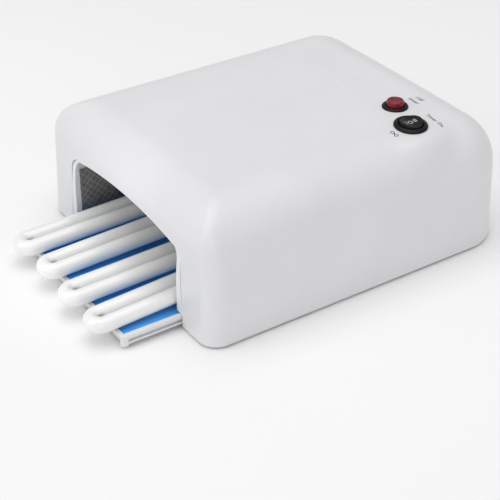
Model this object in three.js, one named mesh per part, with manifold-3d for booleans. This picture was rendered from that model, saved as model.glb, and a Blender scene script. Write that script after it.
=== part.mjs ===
// Bench UV curing lamp: a moulded housing with a tunnel, a sliding tray and four plug-in U tubes.
// Millimetres, +Z up, -Y is the side the hand goes in. Built around the middle of the housing at the
// height of its lower edge, then moved so that the origin is the middle of the whole lamp's footprint.
import * as THREE from 'three';
import { mergeVertices } from 'three/addons/utils/BufferGeometryUtils.js';
import Module from 'manifold-3d';

const wasm = await Module();
wasm.setup();

// ---- Driving dimensions ----
const GAP = 0.3;                 // between pieces that touch on the real lamp

// Housing
const WIDTH = 210;
const LENGTH = 243.5;
const HEIGHT = 88.9;
const WALL = 2.5;
const DRAFT = 2.3;               // how much narrower each wall is at the top
const SIDE_ROUND = 34;
const BACK_ROUND = 35;
const FRONT_ROUND = 26;
const FRONT_CORNER = 12.5;
const BACK_CORNER = 33;
const FOOT_HEIGHT = 2;

// Front opening: half widths, roof height at the middle, radius of the roof's arch
const OPENING = { foot: 73.2, spring: 70.6, apex: 60.5, corner: 10, arch: 337 };
const LINER_OUTER = { foot: 72.2, spring: 69.8, apex: 60.1, corner: 9.6, arch: 337 };
const LINER_INNER = { foot: 67.4, spring: 67.4, apex: 58.9, corner: 9, arch: 337 };
const LINER_LIP = { foot: 66, spring: 66, apex: 58.9, corner: 8.4, arch: 337 };
const LINER_FOOT = 8.2;
const LINER_FRONT = -LENGTH / 2 + 1.6;
const LIP_DEPTH = 2.8;
const TUNNEL_END = 41.7;
const SHEET = 0.5;               // metal of the reflectors
const REFLECTOR_FRONT = LINER_FRONT + LIP_DEPTH + GAP;
const SIDE_REFLECTOR_TOP = 44.5;
const TOP_REFLECTOR_HALF = 52;
const BULKHEAD = { half: 78, thickness: 2, top: 64 };
const WIRE_SLOT = { x: 24, half: 5, low: 45, high: 51 };
const CLIP = { x: 24, front: -66, back: -58, foot: 56.4 };

// Tray
const TRAY_HALF = 72;
const TRAY_FRONT = -163.5;
const TRAY_LENGTH = 160;
const TRAY_TOP = 7.5;
const TRAY_FLOOR = 5.2;
const POCKET_HALF = 68.6;
const GROOVE_LOW = 2.8;
const GROOVE_HIGH = 5.0;
const GROOVE_DEPTH = 2.1;
const GROOVE_X = TRAY_HALF - GROOVE_DEPTH;
const POST_LENGTH = 4;           // corner posts, full height; the flange behind them is raised
const FLANGE_LOW = 1.4;
const TRAY_LOW = 0.2;
const FRONT_RIM = 2.8;
const BACK_RIM = 2.5;
const FILM = 0.4;
const RAIL = { front: -116.8, back: 38, tongue: 70.5, inner: 73.6, outer: 75.4, play: 0.4 };

// Tubes
const TUBES = [
  { x: -48, tip: -177, turn: -0.6 },
  { x: -14.8, tip: -176.6, turn: 0.5 },
  { x: 20, tip: -179, turn: -0.2 },
  { x: 54.4, tip: -179.5, turn: 1.5 },
];
const GLASS_R = 5.3;
const LEG_X = 6.1;
const TUBE_LENGTH = 139;
const BASE = { width: 28.4, height: 18, length: 25, cuff: 8, corner: 5 };
const POST = { width: 13, height: 9, length: 10 };
const PIN = { x: 10.2, r: 1.1, out: 6, inside: 3 };

// Switches on the top
const BUTTON = { x: 46.2, y: 62.7, hole: 8.1 };
const ROCKER = { x: 71.5, y: 55.4, z: 88.25, tilt: 3.5, hole: 10.1, seat: 12.6 };
const NUT = { radius: 11, bore: 8, thickness: 3.5 };
const SPRING = { radius: 4.2, wire: 0.4, low: -15.3, high: -6.7, turns: 4 };
const PADDLE = { radius: 7.8, half: 9, pivot: -2 };
const TRUNNION = { half: 8.7, radius: 1 };
const BLADES = { y: [-5, 0, 5], half: 3, thickness: 0.8, low: -22, high: -13 };

// Base plate, screws and posts
const PLATE_LOW = 0.4;
const PLATE_HIGH = 2.6;
const PLATE_CLEAR = WALL + 0.4;  // from the housing's outside to the plate's edge
const POSTS = [[-88, -96], [88, -96], [-88, 0], [88, 0], [-88, 94], [88, 94]];
const POST_RADIUS = 3.6;
const POST_BORE = { radius: 1.9, depth: 16 };
const SCREW_HEAD = { radius: 3.4, depth: 1.6 };
const FEET = [[-88, -78], [88, -78], [-72, 98], [72, 98]];
const GLAND = { x: -58, z: 14, hole: 5.3 };
const GLAND_LIP = 1.8;

// Circuit board on four pads, and the two chokes beside it
const BOARD = { x0: 0, x1: 68, y0: 54, y1: 106, z: 8, thickness: 1.6, edge: 7 };
const BOARD_PAD = 3;
const BALLAST_X = [-60, -24];
const CORE = { half: 13, front: 54, back: 108, top: 32 };
const WINDING = { half: 17, front: 64, back: 98, low: 8, high: 27 };

// Lamp holders: [x, z, turned onto its side]
const HOLDERS = [[-24, 46.8, false], [24, 46.8, false], [-57.3, 28, true], [57.3, 28, true]];
const HOLDER = { width: 31.5, height: 17, depth: 19.4 };
const KEY_HOLE = { width: 14, height: 10, depth: 11 };

// ---- Colours and finishes ----
const FINISHES = {
  whitePlastic: { color: 0xe9e9eb, roughness: 0.35, metalness: 0 },
  whiteLiner: { color: 0xf0f0f0, roughness: 0.4, metalness: 0 },
  embossedMetal: { color: 0xa8abad, roughness: 0.25, metalness: 1 },
  blueFilm: { color: 0x2a74d2, roughness: 0.3, metalness: 0 },
  phosphorGlass: { color: 0xf2f2f2, roughness: 0.12, metalness: 0 },
  lampBase: { color: 0xe6e4df, roughness: 0.5, metalness: 0 },
  blackPlastic: { color: 0x17181a, roughness: 0.35, metalness: 0 },
  redPlastic: { color: 0xa8172a, roughness: 0.15, metalness: 0 },
  rubber: { color: 0x2b2b2c, roughness: 0.85, metalness: 0 },
  steel: { color: 0xb8babd, roughness: 0.3, metalness: 1 },
  brass: { color: 0xc9a95c, roughness: 0.3, metalness: 1 },
  board: { color: 0x2f6b3a, roughness: 0.5, metalness: 0 },
  core: { color: 0x55575a, roughness: 0.55, metalness: 0.8 },
};

const lamp = new THREE.Group();

function piece(name, finish, geometry, group = lamp) {
  const mesh = new THREE.Mesh(geometry, new THREE.MeshStandardMaterial(FINISHES[finish]));
  mesh.name = name;
  group.add(mesh);
  return mesh;
}

// ---- Solids ----
function solid(geometry) {
  const bare = geometry.index ? geometry.toNonIndexed() : geometry.clone();
  bare.deleteAttribute('normal');
  bare.deleteAttribute('uv');
  const merged = mergeVertices(bare, 1e-4);
  return new wasm.Manifold(new wasm.Mesh({
    numProp: 3,
    vertProperties: new Float32Array(merged.attributes.position.array),
    triVerts: new Uint32Array(merged.index.array),
  }));
}

function shape(manifold) {
  const mesh = manifold.getMesh();
  const geometry = new THREE.BufferGeometry();
  geometry.setAttribute('position', new THREE.BufferAttribute(new Float32Array(mesh.vertProperties), 3));
  geometry.setIndex(new THREE.BufferAttribute(new Uint32Array(mesh.triVerts), 1));
  return geometry;
}

function cut(body, ...tools) {
  return tools.reduce((left, tool) => left.subtract(tool), body);
}

function join(first, ...others) {
  return others.reduce((whole, other) => whole.add(other), first);
}

// A box between two corners
function block(x0, x1, y0, y1, z0, z1) {
  const geometry = new THREE.BoxGeometry(x1 - x0, y1 - y0, z1 - z0);
  geometry.translate((x0 + x1) / 2, (y0 + y1) / 2, (z0 + z1) / 2);
  return geometry;
}

// An upright cylinder
function round(x, y, z0, z1, radius, sides = 24) {
  const geometry = new THREE.CylinderGeometry(radius, radius, z1 - z0, sides);
  geometry.rotateX(Math.PI / 2);
  geometry.translate(x, y, (z0 + z1) / 2);
  return geometry;
}

// A cylinder along Y
function rod(x, z, y0, y1, radius, sides = 16) {
  const geometry = new THREE.CylinderGeometry(radius, radius, y1 - y0, sides);
  geometry.translate(x, (y0 + y1) / 2, z);
  return geometry;
}

// A turned piece: [radius, height] pairs about the Z axis
function turned(profile, sides = 32) {
  const geometry = new THREE.LatheGeometry(profile.map(([r, h]) => new THREE.Vector2(r, h)), sides);
  geometry.rotateX(Math.PI / 2);
  return geometry;
}

// A flat outline in X and Z, carried along Y
function alongY(outline, y0, y1) {
  const geometry = new THREE.ExtrudeGeometry(outline, { depth: y1 - y0, bevelEnabled: false });
  geometry.rotateX(Math.PI / 2);
  geometry.translate(0, y1, 0);
  return geometry;
}

// A rectangle with round corners, centred
function roundedRectangle(width, height, radius, segments = 4) {
  const outline = new THREE.Shape();
  for (const [sx, sy, start] of [[1, 1, 0], [-1, 1, 90], [-1, -1, 180], [1, -1, 270]]) {
    for (let i = 0; i <= segments; i += 1) {
      const angle = THREE.MathUtils.degToRad(start + (90 * i) / segments);
      const x = sx * (width / 2 - radius) + radius * Math.cos(angle);
      const y = sy * (height / 2 - radius) + radius * Math.sin(angle);
      if (i === 0 && start === 0) outline.moveTo(x, y);
      else outline.lineTo(x, y);
    }
  }
  return outline;
}

// A regular polygon
function polygon(radius, sides) {
  const points = [];
  for (let i = 0; i < sides; i += 1) {
    const angle = (2 * Math.PI * i) / sides;
    points.push(new THREE.Vector2(radius * Math.cos(angle), radius * Math.sin(angle)));
  }
  return new THREE.Shape(points);
}

// ---- Housing ----
// A soft box: straight drafted walls, then a roundover whose radius differs on the sides, front and back.
// Each ring is a rounded rectangle in plan; a point's height blends from side to end round the corner.
function softBox({ inset, bottom, cornerSteps = 6, roundSteps = 8 }) {
  const height = HEIGHT - inset;
  const side = SIDE_ROUND - inset;
  const levels = [{ z: bottom }];
  for (let i = 0; i <= roundSteps; i += 1) levels.push({ turn: (Math.PI / 2) * (i / roundSteps) });
  const ends = [
    { sy: 1, radius: BACK_ROUND - inset, corner: BACK_CORNER - inset },
    { sy: -1, radius: FRONT_ROUND - inset, corner: FRONT_CORNER - inset },
  ];
  const rings = levels.map(({ z, turn }) => {
    const ring = [];
    for (const { sy, radius, corner } of ends) {
      const rise = turn === undefined ? 0 : Math.sin(turn);
      const back = turn === undefined ? 0 : 1 - Math.cos(turn);
      for (const sx of sy > 0 ? [1, -1] : [-1, 1]) {
        for (let i = 0; i <= cornerSteps; i += 1) {
          const step = (sx * sy > 0 ? i : cornerSteps - i) / cornerSteps;
          const angle = (Math.PI / 2) * step;
          const blend = Math.sin(angle) ** 2;
          const sideZ = turn === undefined ? z : height - side + side * rise;
          const endZ = turn === undefined ? z : height - radius + radius * rise;
          const pointZ = sideZ * (1 - blend) + endZ * blend;
          const lean = (DRAFT * pointZ) / HEIGHT;
          const halfX = WIDTH / 2 - inset - lean - side * back;
          const halfY = LENGTH / 2 - inset - lean - radius * back;
          const pull = side * back * (1 - blend) + radius * back * blend;
          const r = Math.max(corner - pull, 0.5);
          ring.push([
            sx * (halfX - r + r * Math.cos(angle)),
            sy * (halfY - r + r * Math.sin(angle)),
            pointZ,
          ]);
        }
      }
    }
    return ring;
  });
  const count = rings[0].length;
  const position = rings.flat(2);
  position.push(0, 0, bottom, 0, 0, height);
  const bottomCentre = rings.length * count;
  const index = [];
  for (let level = 0; level < rings.length; level += 1) {
    for (let i = 0; i < count; i += 1) {
      const a = level * count + i;
      const b = level * count + ((i + 1) % count);
      if (level === 0) index.push(bottomCentre, b, a);
      if (level === rings.length - 1) index.push(a, b, bottomCentre + 1);
      else index.push(a, b, b + count, a, b + count, a + count);
    }
  }
  const geometry = new THREE.BufferGeometry();
  geometry.setAttribute('position', new THREE.Float32BufferAttribute(position, 3));
  geometry.setIndex(index);
  return geometry;
}

// An inverted U: two legs from `low`, round shoulders and a gently arched roof
function archOutline({ foot, spring, apex, corner, arch }, low) {
  const centreX = spring - corner;
  const roofAt = (x) => apex - (x * x) / (2 * arch);
  const centreZ = roofAt(centreX) - corner;
  const right = [[foot, low]];
  for (let i = 0; i <= 5; i += 1) {
    const angle = (Math.PI / 2) * (i / 5);
    right.push([centreX + corner * Math.cos(angle), centreZ + corner * Math.sin(angle)]);
  }
  for (const part of [0.66, 0.33]) right.push([centreX * part, roofAt(centreX * part)]);
  const left = right.map(([x, z]) => [-x, z]).reverse();
  return new THREE.Shape([...right, [0, apex], ...left].map(([x, z]) => new THREE.Vector2(x, z)));
}

function switchSeatFrame() {
  const frame = new THREE.Matrix4().makeRotationY(THREE.MathUtils.degToRad(ROCKER.tilt));
  frame.setPosition(ROCKER.x, ROCKER.y, ROCKER.z);
  return frame;
}

function topHousing() {
  const outer = solid(softBox({ inset: 0, bottom: 0 }));
  const inner = solid(softBox({ inset: WALL, bottom: -1 }));
  const seat = solid(round(0, 0, -12, 0, ROCKER.seat).applyMatrix4(switchSeatFrame()));
  const crown = solid(round(0, 0, 0, 6, ROCKER.seat).applyMatrix4(switchSeatFrame()));
  const under = solid(round(0, 0, -20, -WALL, ROCKER.seat + 4).applyMatrix4(switchSeatFrame()));
  const rockerHole = solid(round(0, 0, -20, 6, ROCKER.hole).applyMatrix4(switchSeatFrame()));
  const buttonHole = solid(round(BUTTON.x, BUTTON.y, HEIGHT - 20, HEIGHT + 6, BUTTON.hole));
  const front = -LENGTH / 2;
  const mouth = solid(alongY(archOutline(OPENING, -1), front - 2, front + 12));
  const glandHole = solid(rod(GLAND.x, GLAND.z, LENGTH / 2 - 8, LENGTH / 2 + 3, GLAND.hole, 24));
  const screwPosts = POSTS.map(([x, y]) => solid(round(x, y, PLATE_HIGH + GAP, HEIGHT - 1, POST_RADIUS, 12)));
  const inside = join(...screwPosts).intersect(outer);
  const bores = POSTS.map(([x, y]) => solid(round(x, y, 0, POST_BORE.depth, POST_BORE.radius, 12)));
  const shell = join(cut(outer, inner), inside, seat.subtract(under));
  return shape(cut(shell, crown, mouth, rockerHole, buttonHole, glandHole, ...bores));
}

// ---- Tunnel ----
function innerLiner() {
  const lipBack = LINER_FRONT + LIP_DEPTH;
  const outer = solid(alongY(archOutline(LINER_OUTER, LINER_FOOT), LINER_FRONT, TUNNEL_END));
  const lipHole = solid(alongY(archOutline(LINER_LIP, LINER_FOOT - 1), LINER_FRONT - 1, lipBack + 1));
  const bore = solid(alongY(archOutline(LINER_INNER, LINER_FOOT - 1), lipBack, TUNNEL_END + 1));
  return shape(cut(outer, lipHole, bore));
}

function sideReflector(side) {
  const outer = LINER_INNER.spring - GAP;
  const middle = side * (outer - SHEET / 2);
  return block(middle - SHEET / 2, middle + SHEET / 2, REFLECTOR_FRONT, TUNNEL_END - GAP,
    LINER_FOOT + GAP, SIDE_REFLECTOR_TOP);
}

function topReflector() {
  const steps = 8;
  const { apex, arch } = LINER_INNER;
  const across = (i) => TOP_REFLECTOR_HALF * ((2 * i) / steps - 1);
  const roof = (x, drop) => new THREE.Vector2(x, apex - (x * x) / (2 * arch) - drop);
  const points = [];
  for (let i = 0; i <= steps; i += 1) points.push(roof(across(i), GAP));
  for (let i = steps; i >= 0; i -= 1) points.push(roof(across(i), GAP + SHEET));
  return alongY(new THREE.Shape(points), REFLECTOR_FRONT, TUNNEL_END - GAP);
}

function rearBulkhead() {
  const { half, thickness, top } = BULKHEAD;
  const front = TUNNEL_END + GAP;
  const back = front + thickness;
  const plate = block(-half, half, front, back, LINER_FOOT, top);
  const wireSlots = [-WIRE_SLOT.x, WIRE_SLOT.x].map((x) => solid(
    block(x - WIRE_SLOT.half, x + WIRE_SLOT.half, front - 1, back + 1, WIRE_SLOT.low, WIRE_SLOT.high),
  ));
  return shape(cut(solid(plate), ...wireSlots));
}

// A lamp holder: block with a keyed recess and two contact holes in its front face
function lampHolder(x, z, turnedOver) {
  const back = TUNNEL_END - GAP - SHEET;
  const front = back - HOLDER.depth;
  const body = solid(block(-HOLDER.width / 2, HOLDER.width / 2, front, back, -HOLDER.height / 2, HOLDER.height / 2));
  const { width, height, depth } = KEY_HOLE;
  const key = solid(block(-width / 2, width / 2, front - 1, front + depth, -height / 2, height / 2));
  const contacts = [-PIN.x, PIN.x].map((px) => solid(rod(px, 0, front - 1, front + 8, 1.6, 12)));
  const geometry = shape(cut(body, key, ...contacts));
  if (turnedOver) geometry.rotateY(Math.PI / 2);
  geometry.translate(x, 0, z);
  return geometry;
}

// A peg under the roof, with a barbed head that snaps between the two legs of a tube
function tubeClip(x) {
  const points = [[-6, 0], [-6, -1.4], [-1.1, -1.4], [-1.1, -15.4], [-2.9, -16], [0, -18.6]];
  const mirror = points.slice(0, -1).map(([px, pz]) => [-px, pz]).reverse();
  const outline = new THREE.Shape([...points, ...mirror].map(([px, pz]) => new THREE.Vector2(px, pz)));
  return alongY(outline, CLIP.front, CLIP.back).translate(x, 0, CLIP.foot);
}

// ---- Bottom ----
function basePlate() {
  const clear = PLATE_CLEAR;
  const outline = roundedRectangle(WIDTH - 2 * clear, LENGTH - 2 * clear, FRONT_CORNER - clear);
  const sheet = new THREE.ExtrudeGeometry(outline, { depth: PLATE_HIGH - PLATE_LOW, bevelEnabled: false });
  sheet.translate(0, 0, PLATE_LOW);
  const plan = solid(softBox({ inset: clear, bottom: -1, roundSteps: 2 }));
  const slotHalf = TRAY_HALF + 1;
  const slot = solid(block(-slotHalf, slotHalf, -LENGTH, TUNNEL_END, -1, PLATE_HIGH + 1));
  const heads = POSTS.map(([x, y]) => solid(round(x, y, 0, SCREW_HEAD.depth, SCREW_HEAD.radius, 16)));
  const shanks = POSTS.map(([x, y]) => solid(round(x, y, 0, PLATE_HIGH + 1, POST_BORE.radius, 12)));
  const { x0, x1, y0, y1, z, edge } = BOARD;
  const padPlaces = [x0 + edge, x1 - edge].flatMap((x) => [y0 + edge, y1 - edge].map((y) => [x, y]));
  const pads = padPlaces.map(([x, y]) => solid(round(x, y, 1, z - GAP, BOARD_PAD, 12)));
  const body = join(solid(sheet).intersect(plan), ...pads);
  return shape(cut(body, slot, ...heads, ...shanks));
}

function guideRail(side) {
  const { front, back, tongue, inner, outer, play } = RAIL;
  const wall = block(inner, outer, front, back, PLATE_HIGH + GAP, LINER_FOOT - GAP);
  const bar = block(tongue, inner + 1, front, back, GROOVE_LOW + play, GROOVE_HIGH - play);
  const rail = shape(join(solid(wall), solid(bar)));
  return side < 0 ? rail.rotateZ(Math.PI).translate(0, front + back, 0) : rail;
}

function foot() {
  const low = -FOOT_HEIGHT;
  const top = PLATE_LOW - GAP;
  return turned([[0, low], [5.4, low], [6, low + 0.8], [6.4, top], [0, top]], 20);
}

function baseScrew() {
  const head = [[0, 0.45], [2.6, 0.45], [3, 0.8], [3, 1.3]];
  const shank = [[1.6, 1.3], [1.6, 12], [0, 13]];
  return turned([...head, ...shank], 12);
}

function cordGland() {
  const y = LENGTH / 2;
  const inside = [[3.6, -5.4], [7, -5.4], [7, -3.2]];
  const neck = [[5, -3.2], [5, 0.2]];
  const lip = [[7.4, 0.2], [6.8, GLAND_LIP], [3.6, GLAND_LIP], [3.6, -5.4]];
  const geometry = turned([...inside, ...neck, ...lip], 24);
  geometry.rotateX(-Math.PI / 2);
  geometry.translate(GLAND.x, y, GLAND.z);
  return geometry;
}

// ---- Tray ----
function trayBody() {
  const back = TRAY_FRONT + TRAY_LENGTH;
  const outline = roundedRectangle(2 * TRAY_HALF, TRAY_LENGTH, 2, 3);
  const slab = new THREE.ExtrudeGeometry(outline, { depth: TRAY_TOP - TRAY_LOW, bevelEnabled: false });
  slab.translate(0, (TRAY_FRONT + back) / 2, TRAY_LOW);
  const afterPosts = TRAY_FRONT + POST_LENGTH;
  const outside = TRAY_HALF + 1;
  const underHalf = POCKET_HALF - 1.2;
  const cuts = [
    block(-POCKET_HALF, POCKET_HALF, TRAY_FRONT + FRONT_RIM, back - BACK_RIM, TRAY_FLOOR, TRAY_TOP + 1),
    block(GROOVE_X, outside, afterPosts, back + 1, GROOVE_LOW, GROOVE_HIGH),
    block(-outside, -GROOVE_X, afterPosts, back + 1, GROOVE_LOW, GROOVE_HIGH),
    block(-POCKET_HALF, POCKET_HALF, TRAY_FRONT - 1, TRAY_FRONT + 2.2, -1, GROOVE_HIGH),
    block(-outside, outside, afterPosts, back + 1, -1, FLANGE_LOW),
    block(-underHalf, underHalf, afterPosts + 1, back - 4, -1, TRAY_FLOOR - 1.6),
  ];
  return shape(cut(solid(slab), ...cuts.map(solid)));
}

function traySheet(low, thickness) {
  const back = TRAY_FRONT + TRAY_LENGTH;
  const half = POCKET_HALF - GAP;
  const front = TRAY_FRONT + FRONT_RIM + GAP;
  return block(-half, half, front, back - BACK_RIM - GAP, low, low + thickness);
}

// ---- Tubes: built along Y with the tip at y = 0, then laid on the tray ----
// Down one leg in a single step, round the bend, and back up the other leg in a single step
class TubePath extends THREE.Curve {
  constructor(end, bendSteps) {
    super();
    Object.assign(this, { end, bendSteps });
  }

  getUtoTmapping(u) {
    return u;
  }

  getPoint(t, target = new THREE.Vector3()) {
    const centreY = LEG_X + GLASS_R;
    const step = t * (this.bendSteps + 2);
    if (step < 1) return target.set(-LEG_X, this.end + (centreY - this.end) * step, 0);
    const left = step - 1 - this.bendSteps;
    if (left > 0) return target.set(LEG_X, centreY + (this.end - centreY) * left, 0);
    const angle = (Math.PI * (step - 1)) / this.bendSteps;
    return target.set(-LEG_X * Math.cos(angle), centreY - LEG_X * Math.sin(angle), 0);
  }
}

function tubeGlass() {
  const bendSteps = 12;
  const path = new TubePath(TUBE_LENGTH - BASE.length + BASE.cuff, bendSteps);
  const section = polygon(GLASS_R, 16);
  return new THREE.ExtrudeGeometry(section, { steps: bendSteps + 2, extrudePath: path, bevelEnabled: false });
}

function tubeBase() {
  const front = TUBE_LENGTH - BASE.length;
  const outline = roundedRectangle(BASE.width, BASE.height, BASE.corner, 4);
  const body = solid(alongY(outline, front, TUBE_LENGTH));
  const post = solid(block(-POST.width / 2, POST.width / 2, TUBE_LENGTH - 1, TUBE_LENGTH + POST.length,
    -POST.height / 2, POST.height / 2));
  const legHoles = [-LEG_X, LEG_X].map(
    (x) => solid(rod(x, 0, front - 1, front + BASE.cuff + GAP, GLASS_R + GAP, 16)),
  );
  const pinHoles = [-PIN.x, PIN.x].map(
    (x) => solid(rod(x, 0, TUBE_LENGTH - PIN.inside - GAP, TUBE_LENGTH + 1, PIN.r + GAP, 10)),
  );
  return shape(cut(join(body, post), ...legHoles, ...pinHoles));
}

function tubeOnTray(number, { x, tip, turn }) {
  const group = new THREE.Group();
  const base = tip + TUBE_LENGTH - BASE.length;
  const rim = TRAY_FRONT + FRONT_RIM / 2;
  const filmTop = TRAY_FLOOR + 2 * GAP + SHEET + FILM;
  const rearAxis = filmTop + GAP + BASE.height / 2;
  const frontAxis = TRAY_TOP + GAP + GLASS_R;
  const tilt = Math.atan((rearAxis - frontAxis) / (base - rim));
  group.position.set(x, tip, frontAxis + (tip - rim) * Math.tan(tilt));
  group.rotation.set(tilt, 0, THREE.MathUtils.degToRad(turn), 'ZYX');
  piece(`uv_tube_${number}`, 'phosphorGlass', tubeGlass(), group);
  piece(`tube_base_${number}`, 'lampBase', tubeBase(), group);
  for (const [letter, pinX] of [['a', -PIN.x], ['b', PIN.x]]) {
    const pin = rod(pinX, 0, TUBE_LENGTH - PIN.inside, TUBE_LENGTH + PIN.out, PIN.r, 10);
    piece(`tube_pin_${number}${letter}`, 'brass', pin, group);
  }
  lamp.add(group);
}

// ---- Push button: a barrel held by a nut, a sprung cap ----
function pushButton() {
  const group = new THREE.Group();
  group.position.set(BUTTON.x, BUTTON.y, HEIGHT);
  const barrel = [[0, -19], [7.7, -19], [7.7, GAP]];
  const flange = [[8.9, GAP], [8.9, 1.3], [8.3, 2.1]];
  const well = [[6.3, 2.1], [6.3, -16], [0, -16]];
  piece('timer_button_bezel', 'blackPlastic', turned([...barrel, ...flange, ...well]), group);
  const cap = [[0, -12], [2.4, -12], [2.4, -6], [5.9, -6], [5.9, 5.6], [5.5, 6.1], [0, 6.1]];
  piece('timer_button_cap', 'redPlastic', turned(cap, 28), group);
  const hexagon = polygon(NUT.radius, 6);
  hexagon.holes.push(new THREE.Path().absarc(0, 0, NUT.bore, 0, Math.PI * 2, true));
  const options = { depth: NUT.thickness, bevelEnabled: false, curveSegments: 12 };
  const nut = new THREE.ExtrudeGeometry(hexagon, options);
  nut.translate(0, 0, -WALL - GAP - NUT.thickness);
  piece('timer_button_nut', 'blackPlastic', nut, group);
  piece('timer_button_spring', 'steel', coilSpring(SPRING), group);
  lamp.add(group);
}

// A coil spring of round wire between two heights, with open ends that are cut square
class Helix extends THREE.Curve {
  constructor(radius, low, high, turns) {
    super();
    Object.assign(this, { radius, low, high, turns });
  }

  getPoint(t, target = new THREE.Vector3()) {
    const angle = 2 * Math.PI * this.turns * t;
    const z = this.low + (this.high - this.low) * t;
    return target.set(this.radius * Math.cos(angle), this.radius * Math.sin(angle), z);
  }
}

function coilSpring({ radius, wire, low, high, turns }) {
  const path = new Helix(radius, low + wire, high - wire, turns);
  const steps = 12 * turns;
  return new THREE.ExtrudeGeometry(polygon(wire, 6), { steps, extrudePath: path, bevelEnabled: false });
}

// ---- Rocker switch: a round body on the tilted seat, and a paddle that tips about X ----
function pivotPin(half, radius) {
  const pin = new THREE.CylinderGeometry(radius, radius, 2 * half, 24);
  pin.rotateZ(Math.PI / 2);
  pin.translate(0, 0, PADDLE.pivot);
  return solid(pin);
}

function rockerSwitch() {
  const group = new THREE.Group();
  group.applyMatrix4(switchSeatFrame());
  const barrel = [[0, -14], [9.6, -14], [9.6, GAP]];
  const flange = [[11.4, GAP], [11.4, 1.3], [10.6, 2.2]];
  const well = [[8.5, 1.6], [8.5, -8], [0, -8]];
  const { half: bladeHalf, thickness, low, high } = BLADES;
  const blades = BLADES.y.map((y) => solid(
    block(-bladeHalf, bladeHalf, y - thickness / 2, y + thickness / 2, low, high),
  ));
  const body = join(solid(turned([...barrel, ...flange, ...well])), ...blades);
  const bearing = pivotPin(TRUNNION.half + GAP, TRUNNION.radius + GAP);
  piece('rocker_switch_body', 'blackPlastic', shape(cut(body, bearing)), group);
  const side = [[7.5, 2.7], [7.7, -1.5], [5.5, -5.4], [2.5, -6.6]];
  const points = [[0, 1.2], ...side, ...side.map(([y, z]) => [-y, z]).reverse()];
  const outline = new THREE.Shape(points.map(([y, z]) => new THREE.Vector2(y, z)));
  const slab = new THREE.ExtrudeGeometry(outline, { depth: 2 * PADDLE.half, bevelEnabled: false });
  slab.rotateX(Math.PI / 2);
  slab.rotateZ(Math.PI / 2);
  slab.translate(-PADDLE.half, 0, 0);
  const disc = solid(round(0, 0, -9, 6, PADDLE.radius, 28));
  const trunnions = pivotPin(TRUNNION.half, TRUNNION.radius);
  piece('rocker_paddle', 'blackPlastic', shape(join(solid(slab).intersect(disc), trunnions)), group);
  lamp.add(group);
}

// ---- Electrics in the rear bay ----
function timerBoard() {
  const { x0, x1, y0, y1, z, thickness } = BOARD;
  const board = solid(block(x0, x1, y0, y1, z, z + thickness));
  const top = z + thickness - 0.1;
  const relay = block(x0 + 6, x0 + 25, y0 + 24, y0 + 40, top, top + 15.5);
  const transformer = block(x0 + 34, x0 + 48, y0 + 30, y0 + 46, top, top + 12);
  const largeCapacitor = round(x0 + 58, y0 + 16, top, top + 18, 5, 12);
  const smallCapacitor = round(x0 + 44, y0 + 12, top, top + 13, 4, 12);
  const timerChip = block(x0 + 14, x0 + 26, y0 + 6, y0 + 14, top, top + 4);
  const parts = [relay, transformer, largeCapacitor, smallCapacitor, timerChip];
  return shape(join(board, ...parts.map(solid)));
}

function ballast(x) {
  const core = block(x - CORE.half, x + CORE.half, CORE.front, CORE.back, PLATE_HIGH + GAP, CORE.top);
  const { half, front, back, low, high } = WINDING;
  return shape(join(solid(core), solid(block(x - half, x + half, front, back, low, high))));
}

// ---- The lamp ----
piece('top_housing', 'whitePlastic', topHousing());
piece('inner_liner', 'whiteLiner', innerLiner());
piece('reflector_left', 'embossedMetal', sideReflector(-1));
piece('reflector_right', 'embossedMetal', sideReflector(1));
piece('reflector_top', 'embossedMetal', topReflector());
piece('rear_bulkhead', 'whiteLiner', rearBulkhead());
piece('base_plate', 'whitePlastic', basePlate());
piece('guide_rail_left', 'whiteLiner', guideRail(-1));
piece('guide_rail_right', 'whiteLiner', guideRail(1));
FEET.forEach(([x, y], i) => piece(`foot_${i + 1}`, 'rubber', foot()).position.set(x, y, 0));
POSTS.forEach(([x, y], i) => piece(`base_screw_${i + 1}`, 'steel', baseScrew()).position.set(x, y, 0));
piece('cord_gland', 'rubber', cordGland());
HOLDERS.forEach(([x, z, turn], i) => piece(`lamp_socket_${i + 1}`, 'lampBase', lampHolder(x, z, turn)));
[-CLIP.x, CLIP.x].forEach((x, i) => piece(`tube_clip_${i + 1}`, 'whiteLiner', tubeClip(x)));
pushButton();
rockerSwitch();
piece('timer_board', 'board', timerBoard());
BALLAST_X.forEach((x, i) => piece(`ballast_${i + 1}`, 'core', ballast(x)));

piece('tray_body', 'whitePlastic', trayBody());
piece('tray_reflector', 'embossedMetal', traySheet(TRAY_FLOOR + GAP, SHEET));
piece('tray_film', 'blueFilm', traySheet(TRAY_FLOOR + 2 * GAP + SHEET, FILM));
TUBES.forEach((place, i) => tubeOnTray(i + 1, place));

// The origin is the middle of the footprint, on the surface that the lamp stands on.
const frontmost = Math.min(...TUBES.map(({ tip }) => tip));
const rearmost = LENGTH / 2 + GLAND_LIP;
lamp.position.set(0, -(frontmost + rearmost) / 2, FOOT_HEIGHT);

export default lamp;
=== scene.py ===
import math
from contextlib import contextmanager

import bmesh
import bpy
import numpy as np
from mathutils import Matrix, Vector
from mathutils.bvhtree import BVHTree


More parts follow.
